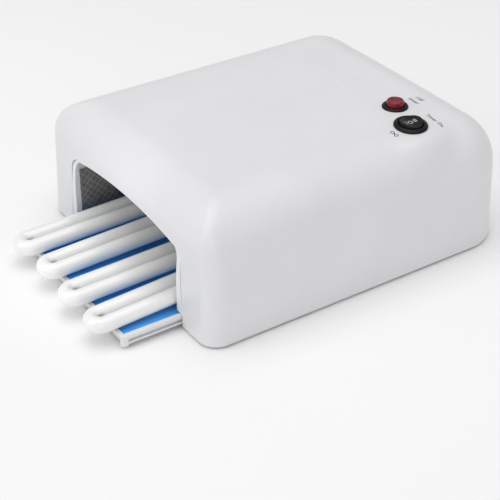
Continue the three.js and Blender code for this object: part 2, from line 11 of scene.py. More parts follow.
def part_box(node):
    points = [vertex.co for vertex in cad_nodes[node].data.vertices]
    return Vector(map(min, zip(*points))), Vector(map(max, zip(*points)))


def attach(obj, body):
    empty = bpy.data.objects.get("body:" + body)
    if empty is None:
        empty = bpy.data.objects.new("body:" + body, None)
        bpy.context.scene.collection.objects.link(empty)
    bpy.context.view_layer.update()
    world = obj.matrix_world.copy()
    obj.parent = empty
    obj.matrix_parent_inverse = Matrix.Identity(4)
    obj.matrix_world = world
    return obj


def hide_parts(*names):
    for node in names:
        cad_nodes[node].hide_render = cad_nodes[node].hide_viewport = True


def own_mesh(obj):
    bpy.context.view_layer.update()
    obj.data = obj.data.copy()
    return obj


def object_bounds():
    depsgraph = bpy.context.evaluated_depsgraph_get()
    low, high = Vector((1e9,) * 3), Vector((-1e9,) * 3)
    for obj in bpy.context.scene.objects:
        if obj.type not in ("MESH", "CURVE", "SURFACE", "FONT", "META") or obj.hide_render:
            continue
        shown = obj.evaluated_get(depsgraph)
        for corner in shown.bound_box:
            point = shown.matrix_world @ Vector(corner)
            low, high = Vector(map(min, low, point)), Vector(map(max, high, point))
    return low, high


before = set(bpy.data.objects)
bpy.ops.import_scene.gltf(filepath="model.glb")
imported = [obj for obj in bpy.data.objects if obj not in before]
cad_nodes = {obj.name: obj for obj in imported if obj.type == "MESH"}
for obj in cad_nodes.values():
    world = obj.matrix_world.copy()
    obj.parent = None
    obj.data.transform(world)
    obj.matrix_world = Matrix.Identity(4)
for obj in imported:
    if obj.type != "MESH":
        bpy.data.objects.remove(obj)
cad_low, cad_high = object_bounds()
scene = bpy.context.scene

# ----------------------------------------
# Table top and studio light: a pale matt table, one broad soft light overhead, one
# from the front left, a weaker one on the right and a narrow spot under the arch.
# ----------------------------------------
TABLE_HALF = 4.0
TABLE_STEPS = 40
CAMERA_SENSOR = 36
CAMERA_AT = (0.66780, -0.44133, 0.50701)
CAMERA_AZIMUTH = math.radians(56.20)
CAMERA_ELEVATION = math.radians(33.095)
CAMERA_LENS = 98.42
PANELS = {
    "overhead_panel": {"at": (0.0, -0.1, 1.7), "width": 1.6, "power": 12.6},
    "mouth_panel": {"at": (-0.3, -1.45, 1.05), "width": 1.3, "power": 5.2},
    "right_panel": {"at": (1.5, -1.0, 0.7), "width": 1.0, "power": 3.2},
}
SPOT = {"at": (-0.22, -0.86, 0.42), "aim": (0.012, -0.080, 0.022), "cone": math.radians(8.6), "power": 8.0,
        "radius": 0.05}
SKY_STRENGTH = 0.52
TABLE_COLOUR = (0.97, 0.97, 0.972)
TABLE_SHADE = 0.985
TONE_STOPS = (0.35, 0.65)


def wire(tree, start, socket, end, target):
    """Joins one node's output socket to another node's input socket."""
    tree.links.new(start.outputs[socket], end.inputs[target])


def patterned(name, colours, spread, roughness, grain, bump, *, metallic=0.0, coat=0.0, coat_roughness=0.1,
              stretch=(1, 1, 1), specular=0.5):
    """A finish whose colour wanders between two tones over `spread` metres, whose roughness lies between
    two values and whose relief is noise of size `grain` metres and height `bump` metres."""
    material = bpy.data.materials.new(name)
    material.use_nodes = True
    tree = material.node_tree
    shader = tree.nodes["Principled BSDF"]
    shader.inputs["Metallic"].default_value = metallic
    shader.inputs["Coat Weight"].default_value = coat
    shader.inputs["Coat Roughness"].default_value = coat_roughness
    shader.inputs["Specular IOR Level"].default_value = specular
    place = tree.nodes.new("ShaderNodeTexCoord")
    mapping = tree.nodes.new("ShaderNodeMapping")
    mapping.inputs["Scale"].default_value = stretch
    wire(tree, place, "Object", mapping, "Vector")
    patches = tree.nodes.new("ShaderNodeTexNoise")
    patches.inputs["Scale"].default_value = 1 / spread
    patches.inputs["Detail"].default_value = 3
    fine = tree.nodes.new("ShaderNodeTexNoise")
    fine.inputs["Scale"].default_value = 1 / grain
    fine.inputs["Detail"].default_value = 2
    wire(tree, mapping, "Vector", patches, "Vector")
    wire(tree, mapping, "Vector", fine, "Vector")
    tones = tree.nodes.new("ShaderNodeValToRGB")
    for stop, position, colour in zip(tones.color_ramp.elements, TONE_STOPS, colours):
        stop.position = position
        stop.color = (*colour, 1)
    wire(tree, patches, "Fac", tones, "Fac")
    wire(tree, tones, "Color", shader, "Base Color")
    gloss = tree.nodes.new("ShaderNodeMapRange")
    gloss.inputs["To Min"].default_value = roughness[0]
    gloss.inputs["To Max"].default_value = roughness[1]
    wire(tree, patches, "Fac", gloss, "Value")
    wire(tree, gloss, "Result", shader, "Roughness")
    relief = tree.nodes.new("ShaderNodeBump")
    relief.inputs["Strength"].default_value = 1.0
    relief.inputs["Distance"].default_value = bump
    wire(tree, fine, "Fac", relief, "Height")
    wire(tree, relief, "Normal", shader, "Normal")
    return material


def grid_faces(rows, columns, wrap_rows=False, wrap_columns=False):
    """Four-sided faces of a grid numbered row by row; a wrapped direction joins its last line to its
    first."""
    row = np.arange(rows if wrap_rows else rows - 1)[:, None]
    column = np.arange(columns if wrap_columns else columns - 1)[None, :]
    next_row = (row + 1) % rows
    next_column = (column + 1) % columns
    corners = [row * columns + column, row * columns + next_column,
               next_row * columns + next_column, next_row * columns + column]
    return np.stack(corners, -1).reshape(-1, 4).tolist()


def mesh_of(name, points, faces, sharp=35):
    """A mesh of points in metres and faces, smooth except over edges that turn more than `sharp` degrees."""
    mesh = bpy.data.meshes.new(name)
    mesh.from_pydata(np.reshape(points, (-1, 3)).tolist(), [], faces)
    mesh.validate()
    outward(mesh)
    mesh.shade_smooth()
    mesh.set_sharp_from_angle(angle=math.radians(sharp))
    return mesh


@contextmanager
def opened(mesh):
    """A mesh opened for editing and written back at the end."""
    work = bmesh.new()
    work.from_mesh(mesh)
    yield work
    work.to_mesh(mesh)
    work.free()


def outward(mesh):
    """Turns every face of a closed mesh to point outwards."""
    with opened(mesh) as work:
        bmesh.ops.recalc_face_normals(work, faces=work.faces)


table_line = np.linspace(-TABLE_HALF, TABLE_HALF, TABLE_STEPS + 1)
table_x, table_y = np.meshgrid(table_line, table_line)
table_points = np.stack([table_x, table_y, np.zeros_like(table_x)], -1)
table_mesh = bpy.data.meshes.new("table_top")
table_mesh.from_pydata(table_points.reshape(-1, 3).tolist(), [], grid_faces(TABLE_STEPS + 1, TABLE_STEPS + 1))
table_mesh.materials.append(patterned(
    "pale_table", [TABLE_COLOUR, tuple(TABLE_SHADE * c for c in TABLE_COLOUR)], 0.4, (0.75, 0.85), 0.002,
    0.00002))
table = bpy.data.objects.new("table_top", table_mesh)
scene.collection.objects.link(table)

for panel_name, panel in PANELS.items():
    light = bpy.data.lights.new(panel_name, "AREA")
    light.shape = "SQUARE"
    light.size = panel["width"]
    light.energy = panel["power"]
    light_stand = bpy.data.objects.new(panel_name, light)
    light_stand.location = panel["at"]
    away = light_stand.location - (cad_low + cad_high) / 2
    light_stand.rotation_euler = away.to_track_quat("Z", "Y").to_euler()
    scene.collection.objects.link(light_stand)

spot = bpy.data.lights.new("tunnel_spot", "SPOT")
spot.energy = SPOT["power"]
spot.spot_size = SPOT["cone"]
spot.spot_blend = 1.0
spot.shadow_soft_size = SPOT["radius"]
spot_stand = bpy.data.objects.new("tunnel_spot", spot)
spot_stand.location = SPOT["at"]
spot_stand.rotation_euler = (spot_stand.location - Vector(SPOT["aim"])).to_track_quat("Z", "Y").to_euler()
scene.collection.objects.link(spot_stand)

sky = bpy.data.worlds.new("white_room")
sky.use_nodes = True
sky.node_tree.nodes["Background"].inputs["Color"].default_value = (1.0, 1.0, 1.0, 1)
sky.node_tree.nodes["Background"].inputs["Strength"].default_value = SKY_STRENGTH
scene.world = sky
scene.view_settings.view_transform = "Standard"

camera = bpy.data.cameras.new("camera")
camera.lens = CAMERA_LENS
camera.sensor_width = CAMERA_SENSOR
camera_stand = bpy.data.objects.new("camera", camera)
camera_stand.location = CAMERA_AT
camera_stand.rotation_euler = (math.pi / 2 - CAMERA_ELEVATION, 0, CAMERA_AZIMUTH)
scene.collection.objects.link(camera_stand)
scene.camera = camera_stand

# ----------------------------------------
# Base plate: a flat injection-moulded floor set inside the housing's lower edge,
# cut away where the tray runs, held up into the posts by six screws.
# ----------------------------------------
MM = 0.001
PLATE_EDGE = 0.4 * MM
DOUBLED = 2e-6
NEARLY_FLAT = math.radians(0.8)

white_plastic = patterned("white_moulding", [(0.755, 0.757, 0.772), (0.78, 0.782, 0.797)], 0.05, (0.30, 0.38),
                          0.0009, 0.000004, coat=0.12, coat_roughness=0.18)


def bare_copy(node, name):
    """A fresh mesh of a CAD node with its doubled points merged and its flat areas made single faces."""
    work = bmesh.new()
    work.from_mesh(cad_nodes[node].data)
    bmesh.ops.remove_doubles(work, verts=work.verts, dist=DOUBLED)
    bmesh.ops.dissolve_limit(work, angle_limit=NEARLY_FLAT, verts=work.verts, edges=work.edges)
    work.verts.index_update()
    points = np.array([v.co for v in work.verts])
    faces = [[v.index for v in f.verts] for f in work.faces]
    work.free()
    return mesh_of(name, points, faces)


def add_piece(name, mesh, material, body, slot, *replaced):
    """Puts a mesh in the scene as a piece that rides on a body and stands for the CAD nodes it replaces."""
    piece = bpy.data.objects.new(name, mesh)
    scene.collection.objects.link(piece)
    mesh.materials.append(material)
    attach(piece, body)
    if replaced:
        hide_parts(*replaced)
    return piece


def ease_edges(piece, width, segments=2, angle=40):
    """Rounds a piece's edges that turn more than `angle` degrees."""
    bevel = piece.modifiers.new("eased_edges", "BEVEL")
    bevel.width = width
    bevel.segments = segments
    bevel.limit_method = "ANGLE"
    bevel.angle_limit = math.radians(angle)
    bevel.harden_normals = True
    return piece


def eased_copy(node, name, material, body, slot, width, segments=2):
    """A CAD node's shape with rounded edges, standing for the node."""
    return ease_edges(add_piece(name, bare_copy(node, name), material, body, slot, node), width, segments)


eased_copy("base_plate", "base_plate_moulding", white_plastic, "housing", "white_plastic", PLATE_EDGE)

# ----------------------------------------
# Rails: two L-shaped strips of white plastic welded to the base plate beside the
# tray's slot. Their tongues run in the grooves of the tray.
# ----------------------------------------
RAIL_EDGE = 0.25 * MM

liner_plastic = patterned("liner_moulding", [(0.80, 0.80, 0.80), (0.84, 0.84, 0.835)], 0.04, (0.38, 0.5),
                          0.0007, 0.000006)
for hand in ("left", "right"):
    eased_copy(f"guide_rail_{hand}", f"rail_{hand}", liner_plastic, "housing", "liner_plastic", RAIL_EDGE)

# ----------------------------------------
# Lamp holders and rear wall: four moulded sockets riveted to the wall that closes
# the tunnel, two upright under the roof and two on their sides beside the tray.
# ----------------------------------------
HOLDER_EDGE = 0.5 * MM

lamp_plastic = patterned("socket_moulding", [(0.76, 0.755, 0.735), (0.80, 0.795, 0.775)], 0.02, (0.42, 0.55),
                         0.0005, 0.000008)
eased_copy("rear_bulkhead", "tunnel_rear_wall", liner_plastic, "housing", "liner_plastic", RAIL_EDGE)
for number in range(1, 5):
    eased_copy(f"lamp_socket_{number}", f"lamp_holder_{number}", lamp_plastic, "housing", "lamp_base",
               HOLDER_EDGE)

# ----------------------------------------
# Tunnel liner: one moulded arch from the mouth to the rear wall. Its front carries
# a turned-in lip, nearly flush with the housing down the legs and set back at the roof.
# ----------------------------------------
HOUSING_Y = 27.975
FLOOR_TO_SHELL = 2.0
SHELL_FRONT = -121.75
LINER_START = SHELL_FRONT + 1.6
RECESS = {"leg": 0.5, "roof": 2.7, "low": 24.0, "high": 54.0}
LINER_LIP_DEPTH = 2.8
LINER_END = 41.7
LINER_FOOT = 8.2
LINER_OUTSIDE = {"foot": 72.3, "spring": 69.8, "apex": 60.15, "corner": 9.6}
LINER_INSIDE = {"foot": 67.4, "spring": 67.4, "apex": 58.9, "corner": 9.0}
LINER_LIP = {"foot": 66.0, "spring": 66.0, "apex": 58.9, "corner": 8.4}
ROOF_RADIUS = 337.0
LIP_EDGE = 0.45


def arch_line(foot, spring, apex, corner, low, leg_steps=6, corner_steps=18, roof_steps=40):
    """Half widths and heights of an arch, right foot to left foot: straight legs, a quarter circle at each
    shoulder, and a roof whose height falls by the square of the half width over twice the roof's radius."""
    middle = spring - corner
    shoulder = apex - middle ** 2 / (2 * ROOF_RADIUS) - corner
    turn = np.linspace(0, np.pi / 2, corner_steps + 1)
    rise = np.linspace(0, 1, leg_steps + 1)[:-1]
    leg = np.stack([foot + (spring - foot) * rise, low + (shoulder - low) * rise], -1)
    bend = np.stack([middle + corner * np.cos(turn), shoulder + corner * np.sin(turn)], -1)
    across = np.linspace(middle, 0, roof_steps // 2 + 1)[1:]
    roof = np.stack([across, apex - across ** 2 / (2 * ROOF_RADIUS)], -1)
    right = np.concatenate([leg, bend, roof])
    left = right[-2::-1] * (-1, 1)
    return np.concatenate([right, left])


def in_place(points):
    """Housing millimetres (from the middle of the housing's lower edge) to metres in the part's frame."""
    return (np.asarray(points) + (0, HOUSING_Y, FLOOR_TO_SHELL)) * MM


def upright(outline, y):
    """Points of an outline of (x, z) pairs stood up at y, which may differ from point to point."""
    return np.stack([outline[:, 0], np.broadcast_to(y, len(outline)), outline[:, 1]], -1)


def arch_wall(rings):
    """Closed wall from a loop of arch lines, each (outline, y): neighbours joined, both feet closed flat."""
    points = np.stack([upright(line, y) for line, y in rings])
    faces = grid_faces(len(rings), points.shape[1], wrap_rows=True)
    starts = np.arange(len(rings)) * points.shape[1]
    return in_place(points), faces + [starts.tolist(), (starts + points.shape[1] - 1)[::-1].tolist()]


liner_out = arch_line(**LINER_OUTSIDE, low=LINER_FOOT)
liner_lip = arch_line(**LINER_LIP, low=LINER_FOOT)
liner_in = arch_line(**LINER_INSIDE, low=LINER_FOOT)
height_share = np.clip((liner_out[:, 1] - RECESS["low"]) / (RECESS["high"] - RECESS["low"]), 0, 1)
liner_front = SHELL_FRONT + RECESS["leg"] + (RECESS["roof"] - RECESS["leg"]) * height_share ** 2
lip_back = LINER_START + LINER_LIP_DEPTH
liner_points, liner_faces = arch_wall([
    (liner_out, LINER_END), (liner_out, liner_front), (liner_lip, liner_front), (liner_lip, lip_back),
    (liner_in, lip_back), (liner_in, LINER_END)])
liner = add_piece("tunnel_liner", mesh_of("tunnel_liner", liner_points, liner_faces), liner_plastic,
                  "housing", "liner_plastic", "inner_liner")
ease_edges(liner, LIP_EDGE * MM, 3)

# ----------------------------------------
# Reflectors: dull aluminium sheet, rolled with raised crossing ridges whose crests carry
# a painted highlight, and held to both legs and to the roof of the liner.
# ----------------------------------------
DIAMOND = 5.3
DIAMOND_HEIGHT = 0.34
FOIL_STEP = 0.46
ROOF_STEP = 0.66
FOIL_THICKNESS = 0.12
REFLECTOR_START = LINER_START + LINER_LIP_DEPTH + 0.3
REFLECTOR_END = LINER_END - 0.3
SIDE_REFLECTOR = {"face": 67.0, "low": 8.6, "high": 44.5}
ROOF_REFLECTOR = {"half": 52.0, "face": 58.5}
RIDGE = {"start": 0.72, "power": 1.3}
# Painted highlight: the lighter grey the ridge crests are blended towards, standing for light glinting on
# them.
PAINTED_CREST_HIGHLIGHT = (0.42, 0.42, 0.41)


def diamonds(a, b, pitch=DIAMOND):
    """Height 0 to 1 of rolled diamonds: two families of ridges at 45 degrees to the sheet, each a narrow
    crest where the distance along the other diagonal is near a whole number of pitches."""
    first = np.abs(((a + b) / pitch) % 1 - 0.5) * 2
    second = np.abs(((a - b) / pitch) % 1 - 0.5) * 2
    crest = (np.maximum(first, second) - RIDGE["start"]) / (1 - RIDGE["start"])
    return np.clip(crest, 0, 1) ** RIDGE["power"]


def toned_by(material, attribute, colour):
    """Blends a finish towards a colour by the mesh's own value of that name, 0 to 1."""
    tree = material.node_tree
    shader = tree.nodes["Principled BSDF"]
    tones = shader.inputs["Base Color"].links[0].from_node
    share = tree.nodes.new("ShaderNodeAttribute")
    share.attribute_name = attribute
    blend = tree.nodes.new("ShaderNodeMix")
    blend.data_type = "RGBA"
    blend.inputs["B"].default_value = (*colour, 1)
    wire(tree, share, "Fac", blend, "Factor")
    wire(tree, tones, "Color", blend, "A")
    wire(tree, blend, "Result", shader, "Base Color")


def store(mesh, attribute, values):
    """Keeps one value per point of a mesh under a name."""
    mesh.attributes.new(attribute, "FLOAT", "POINT").data.foreach_set("value", np.ravel(values))


foil = patterned("rolled_aluminium", [(0.19, 0.19, 0.186), (0.27, 0.27, 0.264)], 0.006, (0.45, 0.55),
                 0.0004, 0.00001, metallic=0.5)
# Painted highlight: the foil's colour is lightened on the ridge crests by their stored height.
toned_by(foil, "crest", PAINTED_CREST_HIGHLIGHT)
along = np.arange(REFLECTOR_START, REFLECTOR_END, FOIL_STEP)


def thin_sheet(name, points, material, body, slot, node, thickness, side):
    """A sheet on a grid of points in metres, thickened towards one side of the grid."""
    mesh = bpy.data.meshes.new(name)
    mesh.from_pydata(points.reshape(-1, 3).tolist(), [], grid_faces(*points.shape[:2]))
    mesh.shade_smooth()
    sheet = add_piece(name, mesh, material, body, slot, node)
    wall = sheet.modifiers.new("thickness", "SOLIDIFY")
    wall.thickness = thickness
    wall.offset = side
    return mesh


def foil_sheet(name, x, y, z, crests, node):
    """A sheet of foil on the tunnel's wall, thickened outwards, its crests lightened by a painted highlight.
    """
    points = in_place(np.stack([x, y, z], -1))
    mesh = thin_sheet(name, points, foil, "housing", "embossed_metal", node, FOIL_THICKNESS * MM, 1)
    store(mesh, "crest", crests)


up = np.arange(SIDE_REFLECTOR["low"], SIDE_REFLECTOR["high"], FOIL_STEP)
for hand, side in (("left", -1), ("right", 1)):
    run, rise = np.meshgrid(along, up if side < 0 else up[::-1])
    crests = diamonds(run, rise)
    inward = SIDE_REFLECTOR["face"] - DIAMOND_HEIGHT * crests
    foil_sheet(f"side_foil_{hand}", side * inward, run, rise, crests, f"reflector_{hand}")
half = ROOF_REFLECTOR["half"]
roof_along = np.arange(REFLECTOR_START, REFLECTOR_END, ROOF_STEP)
run, across = np.meshgrid(roof_along, np.arange(half, -half, -ROOF_STEP))
crests = diamonds(run, across)
roof_z = ROOF_REFLECTOR["face"] - across ** 2 / (2 * ROOF_RADIUS) - DIAMOND_HEIGHT * crests
foil_sheet("roof_foil", across, run, roof_z, crests, "reflector_top")

# ----------------------------------------
# Roof clips: two white plastic pegs with barbed heads under the roof, between which
# a pair of tube legs can be snapped.
# ----------------------------------------
for number in (1, 2):
    eased_copy(f"tube_clip_{number}", f"roof_clip_{number}", liner_plastic, "housing", "liner_plastic",
               RAIL_EDGE)

# ----------------------------------------
# Housing: one glossy white ABS moulding, a soft box with drafted walls, wide round
# shoulders and a barely crowned top, with a thin decorative crease across it.
# ----------------------------------------
SHELL = {"width": 210.0, "length": 243.5, "height": 88.9, "wall": 2.5, "draft": 2.3}
ROUND = {"side": 34.0, "front": 26.0, "back": 35.0}
CORNER = {"front": 12.5, "back": 33.0, "least": 6.0}
CORNER_STEPS = 6
STRAIGHT_STEPS = (56, 64)
ROUND_STEPS = 22
WALL_STEPS = 8
CROWN = 0.4
CROWN_HALF = 71.0
SEAT = {"x": 71.5, "y": 55.4, "z": 88.25, "tilt": math.radians(3.5), "flat": 12.6, "fade": 32.0}
MOUTH = {"foot": 73.2, "spring": 70.6, "apex": 60.5, "corner": 10.0}
BUTTON = {"x": 46.2, "y": 62.7, "hole": 8.1}
ROCKER_HOLE = 10.1
GLAND = {"x": -58.0, "z": 14.0, "hole": 5.3}
CREASE = {"x": -74.0, "y": -295.0, "radius": 353.0, "left": -60.0, "right": 60.0, "reach": 16.0}
CREASE_ROWS = (-0.5, -0.14, 0.0, 0.14, 0.5)
CREASE_DEPTHS = (0.0, 0.18, 0.22, 0.18, 0.0)
CREASE_SHARE = 0.72
MOUTH_EDGE = 0.6
FRONT_WALL_Y = -0.085
TOP_ONLY = 60.0
CORNER_BLEND = 3.0
CUT_SHARP = math.radians(35)
FACES_ALONG_Y = 0.999
FACES_ASIDE = 1e-4
MERGE = 1e-6


def smooth(share):
    """A share of 0 to 1 eased at both ends: three times its square less twice its cube."""
    return share ** 2 * (3 - 2 * share)


def perimeter():
    """Turn of the outward normal and the two centre shares (-1 to 1) of points round a rounded rectangle,
    from the middle of the front left corner's arc and round by the right."""
    half_arc = np.radians(np.linspace(0, 45, CORNER_STEPS + 1))
    turns, shares_x, shares_y = [], [], []
    for quarter, steps in enumerate((*STRAIGHT_STEPS, *STRAIGHT_STEPS)):
        facing = np.radians(quarter * 90 - 90)
        straight = np.linspace(-1, 1, steps + 1)
        turn = np.concatenate([facing - half_arc[::-1][:-1], np.full(steps + 1, facing),
                               facing + half_arc[1:]])
        share = np.concatenate([np.full(CORNER_STEPS, -1.0), straight, np.full(CORNER_STEPS, 1.0)])
        fixed = np.full(len(share), (-1.0, 1.0, 1.0, -1.0)[quarter])
        moving = share * (1, 1, -1, -1)[quarter]
        turns.append(turn[:-1])
        shares_x.append((moving if quarter % 2 == 0 else fixed)[:-1])
        shares_y.append((fixed if quarter % 2 == 0 else moving)[:-1])
    return np.concatenate(turns), np.concatenate(shares_x), np.concatenate(shares_y)


def crown(x):
    """Lift of the top over the flat: highest at the middle line, falling by the square of the half width."""
    return CROWN * (1 - 2 * np.minimum(np.abs(x) / CROWN_HALF, 1) ** 2)


def with_seat(points, inset):
    """Lays the skin flat on the tilted seat round the rocker, fading back to its own shape further out."""
    away = np.hypot(points[..., 0] - SEAT["x"], points[..., 1] - SEAT["y"])
    share = smooth(np.clip((SEAT["fade"] - away) / (SEAT["fade"] - SEAT["flat"]), 0, 1))
    seat = SEAT["z"] - inset - math.tan(SEAT["tilt"]) * (points[..., 0] - SEAT["x"])
    points[..., 2] += share * np.where(points[..., 2] > TOP_ONLY, seat - points[..., 2], 0)
    return points


def skin(inset):
    """Points of the soft box at `inset` millimetres inside its outside, as rings from the lower edge up and
    then a patch over the top. A wall leans in by its height times the draft; a shoulder's ring goes in by
    the radius times one less the cosine and up by the radius times the sine of its turn. Radii blend from
    side to end round a corner by the square of the sine of the normal's turn."""
    turn, share_x, share_y = perimeter()
    height = SHELL["height"] - inset
    front = np.sin(turn) < -0.001
    end = np.where(front, ROUND["front"], ROUND["back"])[None] - inset
    side = ROUND["side"] - inset
    blend = (np.sin(turn) ** 2)[None]
    lift = np.concatenate([np.linspace(0, 1, WALL_STEPS + 1)[:-1], np.ones(ROUND_STEPS + 1)])[:, None]
    theta = np.concatenate([np.zeros(WALL_STEPS), np.linspace(0, np.pi / 2, ROUND_STEPS + 1)])[:, None]
    inward = 1 - np.cos(theta)
    z_side = lift * (height - side) + side * np.sin(theta)
    z_end = lift * (height - end) + end * np.sin(theta)
    z = z_side * (1 - blend) + z_end * blend
    lean = SHELL["draft"] * z / SHELL["height"]
    half_x = SHELL["width"] / 2 - inset - lean - side * inward
    half_front = SHELL["length"] / 2 - inset - lean - (ROUND["front"] - inset) * inward
    half_back = SHELL["length"] / 2 - inset - lean - (ROUND["back"] - inset) * inward
    pull = side * inward * (1 - blend) + end * inward * blend

    def corner(radius):
        spare = radius - inset - CORNER["least"] - pull
        return CORNER["least"] + (spare + np.sqrt(spare ** 2 + CORNER_BLEND ** 2)) / 2

    r_front, r_back = corner(CORNER["front"]), corner(CORNER["back"])
    radius = np.where(share_y[None] < 0, r_front, r_back)
    y_front, y_back = r_front - half_front, half_back - r_back
    x = share_x[None] * (half_x - radius) + radius * np.cos(turn)[None]
    y = y_front + (y_back - y_front) * (share_y[None] + 1) / 2 + radius * np.sin(turn)[None]
    rings = np.stack([x, y, z + crown(x) * np.sin(theta) ** 2], -1)
    return with_seat(rings, inset), with_seat(top_patch(rings[-1], inset), inset)


def top_patch(ring, inset):
    """Inside of the last ring: the sum of the two straight blends between opposite sides, less the blend of
    the four corners, lifted to the crown."""
    columns, rows = STRAIGHT_STEPS[0] + 2 * CORNER_STEPS, STRAIGHT_STEPS[1] + 2 * CORNER_STEPS
    loop = np.concatenate([ring, ring[:1]])
    front, right = loop[:columns + 1], loop[columns:columns + rows + 1]
    back, left = loop[columns + rows:2 * columns + rows + 1][::-1], loop[2 * columns + rows:][::-1]
    u = np.linspace(0, 1, columns + 1)[None, :, None]
    v = np.linspace(0, 1, rows + 1)[:, None, None]
    between = (1 - v) * front[None] + v * back[None] + (1 - u) * left[:, None] + u * right[:, None]
    corners = ((1 - u) * (1 - v) * front[0] + u * (1 - v) * front[-1]
               + (1 - u) * v * back[0] + u * v * back[-1])
    return creased(between - corners, inset)


def creased(patch, inset):
    """Draws the rows near the crease together along its arc, then sets the heights: flat top, plus the
    crown, less the crease's depth, which fades to nothing by a half sine between its ends."""
    rows = patch.shape[0]
    middle = int(CREASE_SHARE * (rows - 1))
    x = patch[middle, :, 0]
    inside = smooth(np.clip((CREASE["reach"] - np.abs(x) + abs(CREASE["right"])) / CREASE["reach"], 0, 1))
    held = np.clip(x, CREASE["left"] - CREASE["reach"], CREASE["right"] + CREASE["reach"])
    arc = CREASE["y"] + np.sqrt(CREASE["radius"] ** 2 - (held - CREASE["x"]) ** 2)
    half = len(CREASE_ROWS) // 2
    first, last = middle - half, middle + half
    target = patch[..., 1].copy()
    front, back = patch[0, :, 1], patch[-1, :, 1]
    ahead = np.linspace(0, 1, first + 1)[:, None]
    behind = np.linspace(0, 1, rows - last)[:, None]
    target[:first + 1] = front + ahead * (arc + CREASE_ROWS[0] - front)
    target[last:] = arc + CREASE_ROWS[-1] + behind * (back - arc - CREASE_ROWS[-1])
    target[first:last + 1] = arc + np.array(CREASE_ROWS)[:, None]
    patch[..., 1] += inside * (target - patch[..., 1])
    patch[..., 2] = SHELL["height"] - inset + crown(patch[..., 0])
    along_crease = np.clip((x - CREASE["left"]) / (CREASE["right"] - CREASE["left"]), 0, 1)
    fading = np.sin(np.pi * along_crease)
    if inset == 0:
        patch[first:last + 1, :, 2] -= np.array(CREASE_DEPTHS)[:, None] * fading
    return patch


def skin_mesh(inset, offset):
    """Points and faces of one skin, its point numbers starting at `offset`; the patch shares the last
    ring's points."""
    rings, patch = skin(inset)
    ring_size = rings.shape[1]
    faces = np.array(grid_faces(len(rings), ring_size, wrap_columns=True))
    rows, columns = patch.shape[:2]
    number = np.full((rows, columns), -1)
    last = (len(rings) - 1) * ring_size + np.arange(ring_size)
    loop = np.append(last, last[0])
    number[0] = loop[:columns]
    number[:, -1] = loop[columns - 1:columns + rows - 1]
    number[-1] = loop[columns + rows - 2:2 * columns + rows - 2][::-1]
    number[:, 0] = loop[2 * columns + rows - 3:][::-1]
    inner_numbers = np.arange((rows - 2) * (columns - 2)).reshape(rows - 2, -1)
    number[1:-1, 1:-1] = len(rings) * ring_size + inner_numbers
    cover = np.stack([number[:-1, :-1], number[:-1, 1:], number[1:, 1:], number[1:, :-1]], -1).reshape(-1, 4)
    points = np.concatenate([rings.reshape(-1, 3), patch[1:-1, 1:-1].reshape(-1, 3)])
    return points, np.concatenate([faces, cover]) + offset, ring_size


outer_points, outer_faces, ring_size = skin_mesh(0, 0)
inner_points, inner_faces, _ = skin_mesh(SHELL["wall"], len(outer_points))
rim = np.arange(ring_size)
rim_faces = np.stack([rim, (rim + 1) % ring_size,
                      (rim + 1) % ring_size + len(outer_points), rim + len(outer_points)], -1)
shell_mesh = mesh_of("housing_shell", in_place(np.concatenate([outer_points, inner_points])),
                     np.concatenate([outer_faces, inner_faces, rim_faces]).tolist())
shell = add_piece("housing_shell", shell_mesh, white_plastic, "housing", "white_plastic", "top_housing")


def plain_front(mesh):
    """Makes each side of the straight front wall one face, so that the mouth is cut in a plain sheet."""
    with opened(mesh) as work:
        for outward_y in (-1, 1):
            wall = [f for f in work.faces if f.calc_center_median().y < FRONT_WALL_Y
                    and f.normal.y * outward_y > FACES_ALONG_Y and abs(f.normal.x) < FACES_ASIDE]
            bmesh.ops.dissolve_faces(work, faces=wall)


def cut_away(piece, cutters, ease=None):
    """Takes closed meshes out of a piece, rounds the new edges if asked and keeps the result as its mesh.
    Rounded edges get normals weighted by face area, so that the wall beside them stays plain."""
    tools = []
    for number, mesh in enumerate(cutters):
        tool = bpy.data.objects.new(f"cutter_{number}", mesh)
        scene.collection.objects.link(tool)
        tools.append(tool)
        cut = piece.modifiers.new(f"cut_{number}", "BOOLEAN")
        cut.operation = "DIFFERENCE"
        cut.solver = "EXACT"
        cut.object = tool
    if ease:
        ease_edges(piece, ease, 3)
        even = piece.modifiers.new("even_shading", "WEIGHTED_NORMAL")
        even.keep_sharp = True
    done = bpy.data.meshes.new_from_object(piece.evaluated_get(bpy.context.evaluated_depsgraph_get()))
    piece.modifiers.clear()
    piece.data = done
    if not ease:
        done.shade_smooth()
        done.set_sharp_from_angle(angle=CUT_SHARP)
    for tool in tools:
        bpy.data.objects.remove(tool)


def capped_faces(rings, steps):
    """Faces of a row of closed rings, with a flat face on each end."""
    count = rings * steps
    ends = [list(range(steps))[::-1], list(range(count - steps, count))]
    return grid_faces(rings, steps, wrap_columns=True) + ends


def along_y(outline, y0, y1):
    """Prism of a closed outline of (x, z) pairs between two places along Y."""
    ends = np.stack([upright(outline, y) for y in (y0, y1)])
    return mesh_of("prism", in_place(ends), capped_faces(*ends.shape[:2]))


def turned(profile, steps=64):
    """Solid of revolution about Z: (radius, height) pairs carried round in equal steps; a point on the axis
    closes an end."""
    profile = np.asarray(profile, float)
    angle = np.linspace(0, 2 * np.pi, steps, endpoint=False)
    points = np.stack([profile[:, :1] * np.cos(angle), profile[:, :1] * np.sin(angle),
                       np.repeat(profile[:, 1:], steps, 1)], -1)
    return points, grid_faces(len(profile), steps, wrap_columns=True)


def moved(points, matrix):
    """Points carried by a matrix."""
    place = np.array(matrix)
    return np.asarray(points) @ place[:3, :3].T + place[:3, 3]


def merged(mesh, sharp):
    """Merges a mesh's doubled points and sets its smooth shading again."""
    with opened(mesh) as work:
        bmesh.ops.remove_doubles(work, verts=work.verts, dist=MERGE)
        bmesh.ops.recalc_face_normals(work, faces=work.faces)
    mesh.shade_smooth()
    mesh.set_sharp_from_angle(angle=math.radians(sharp))
    return mesh


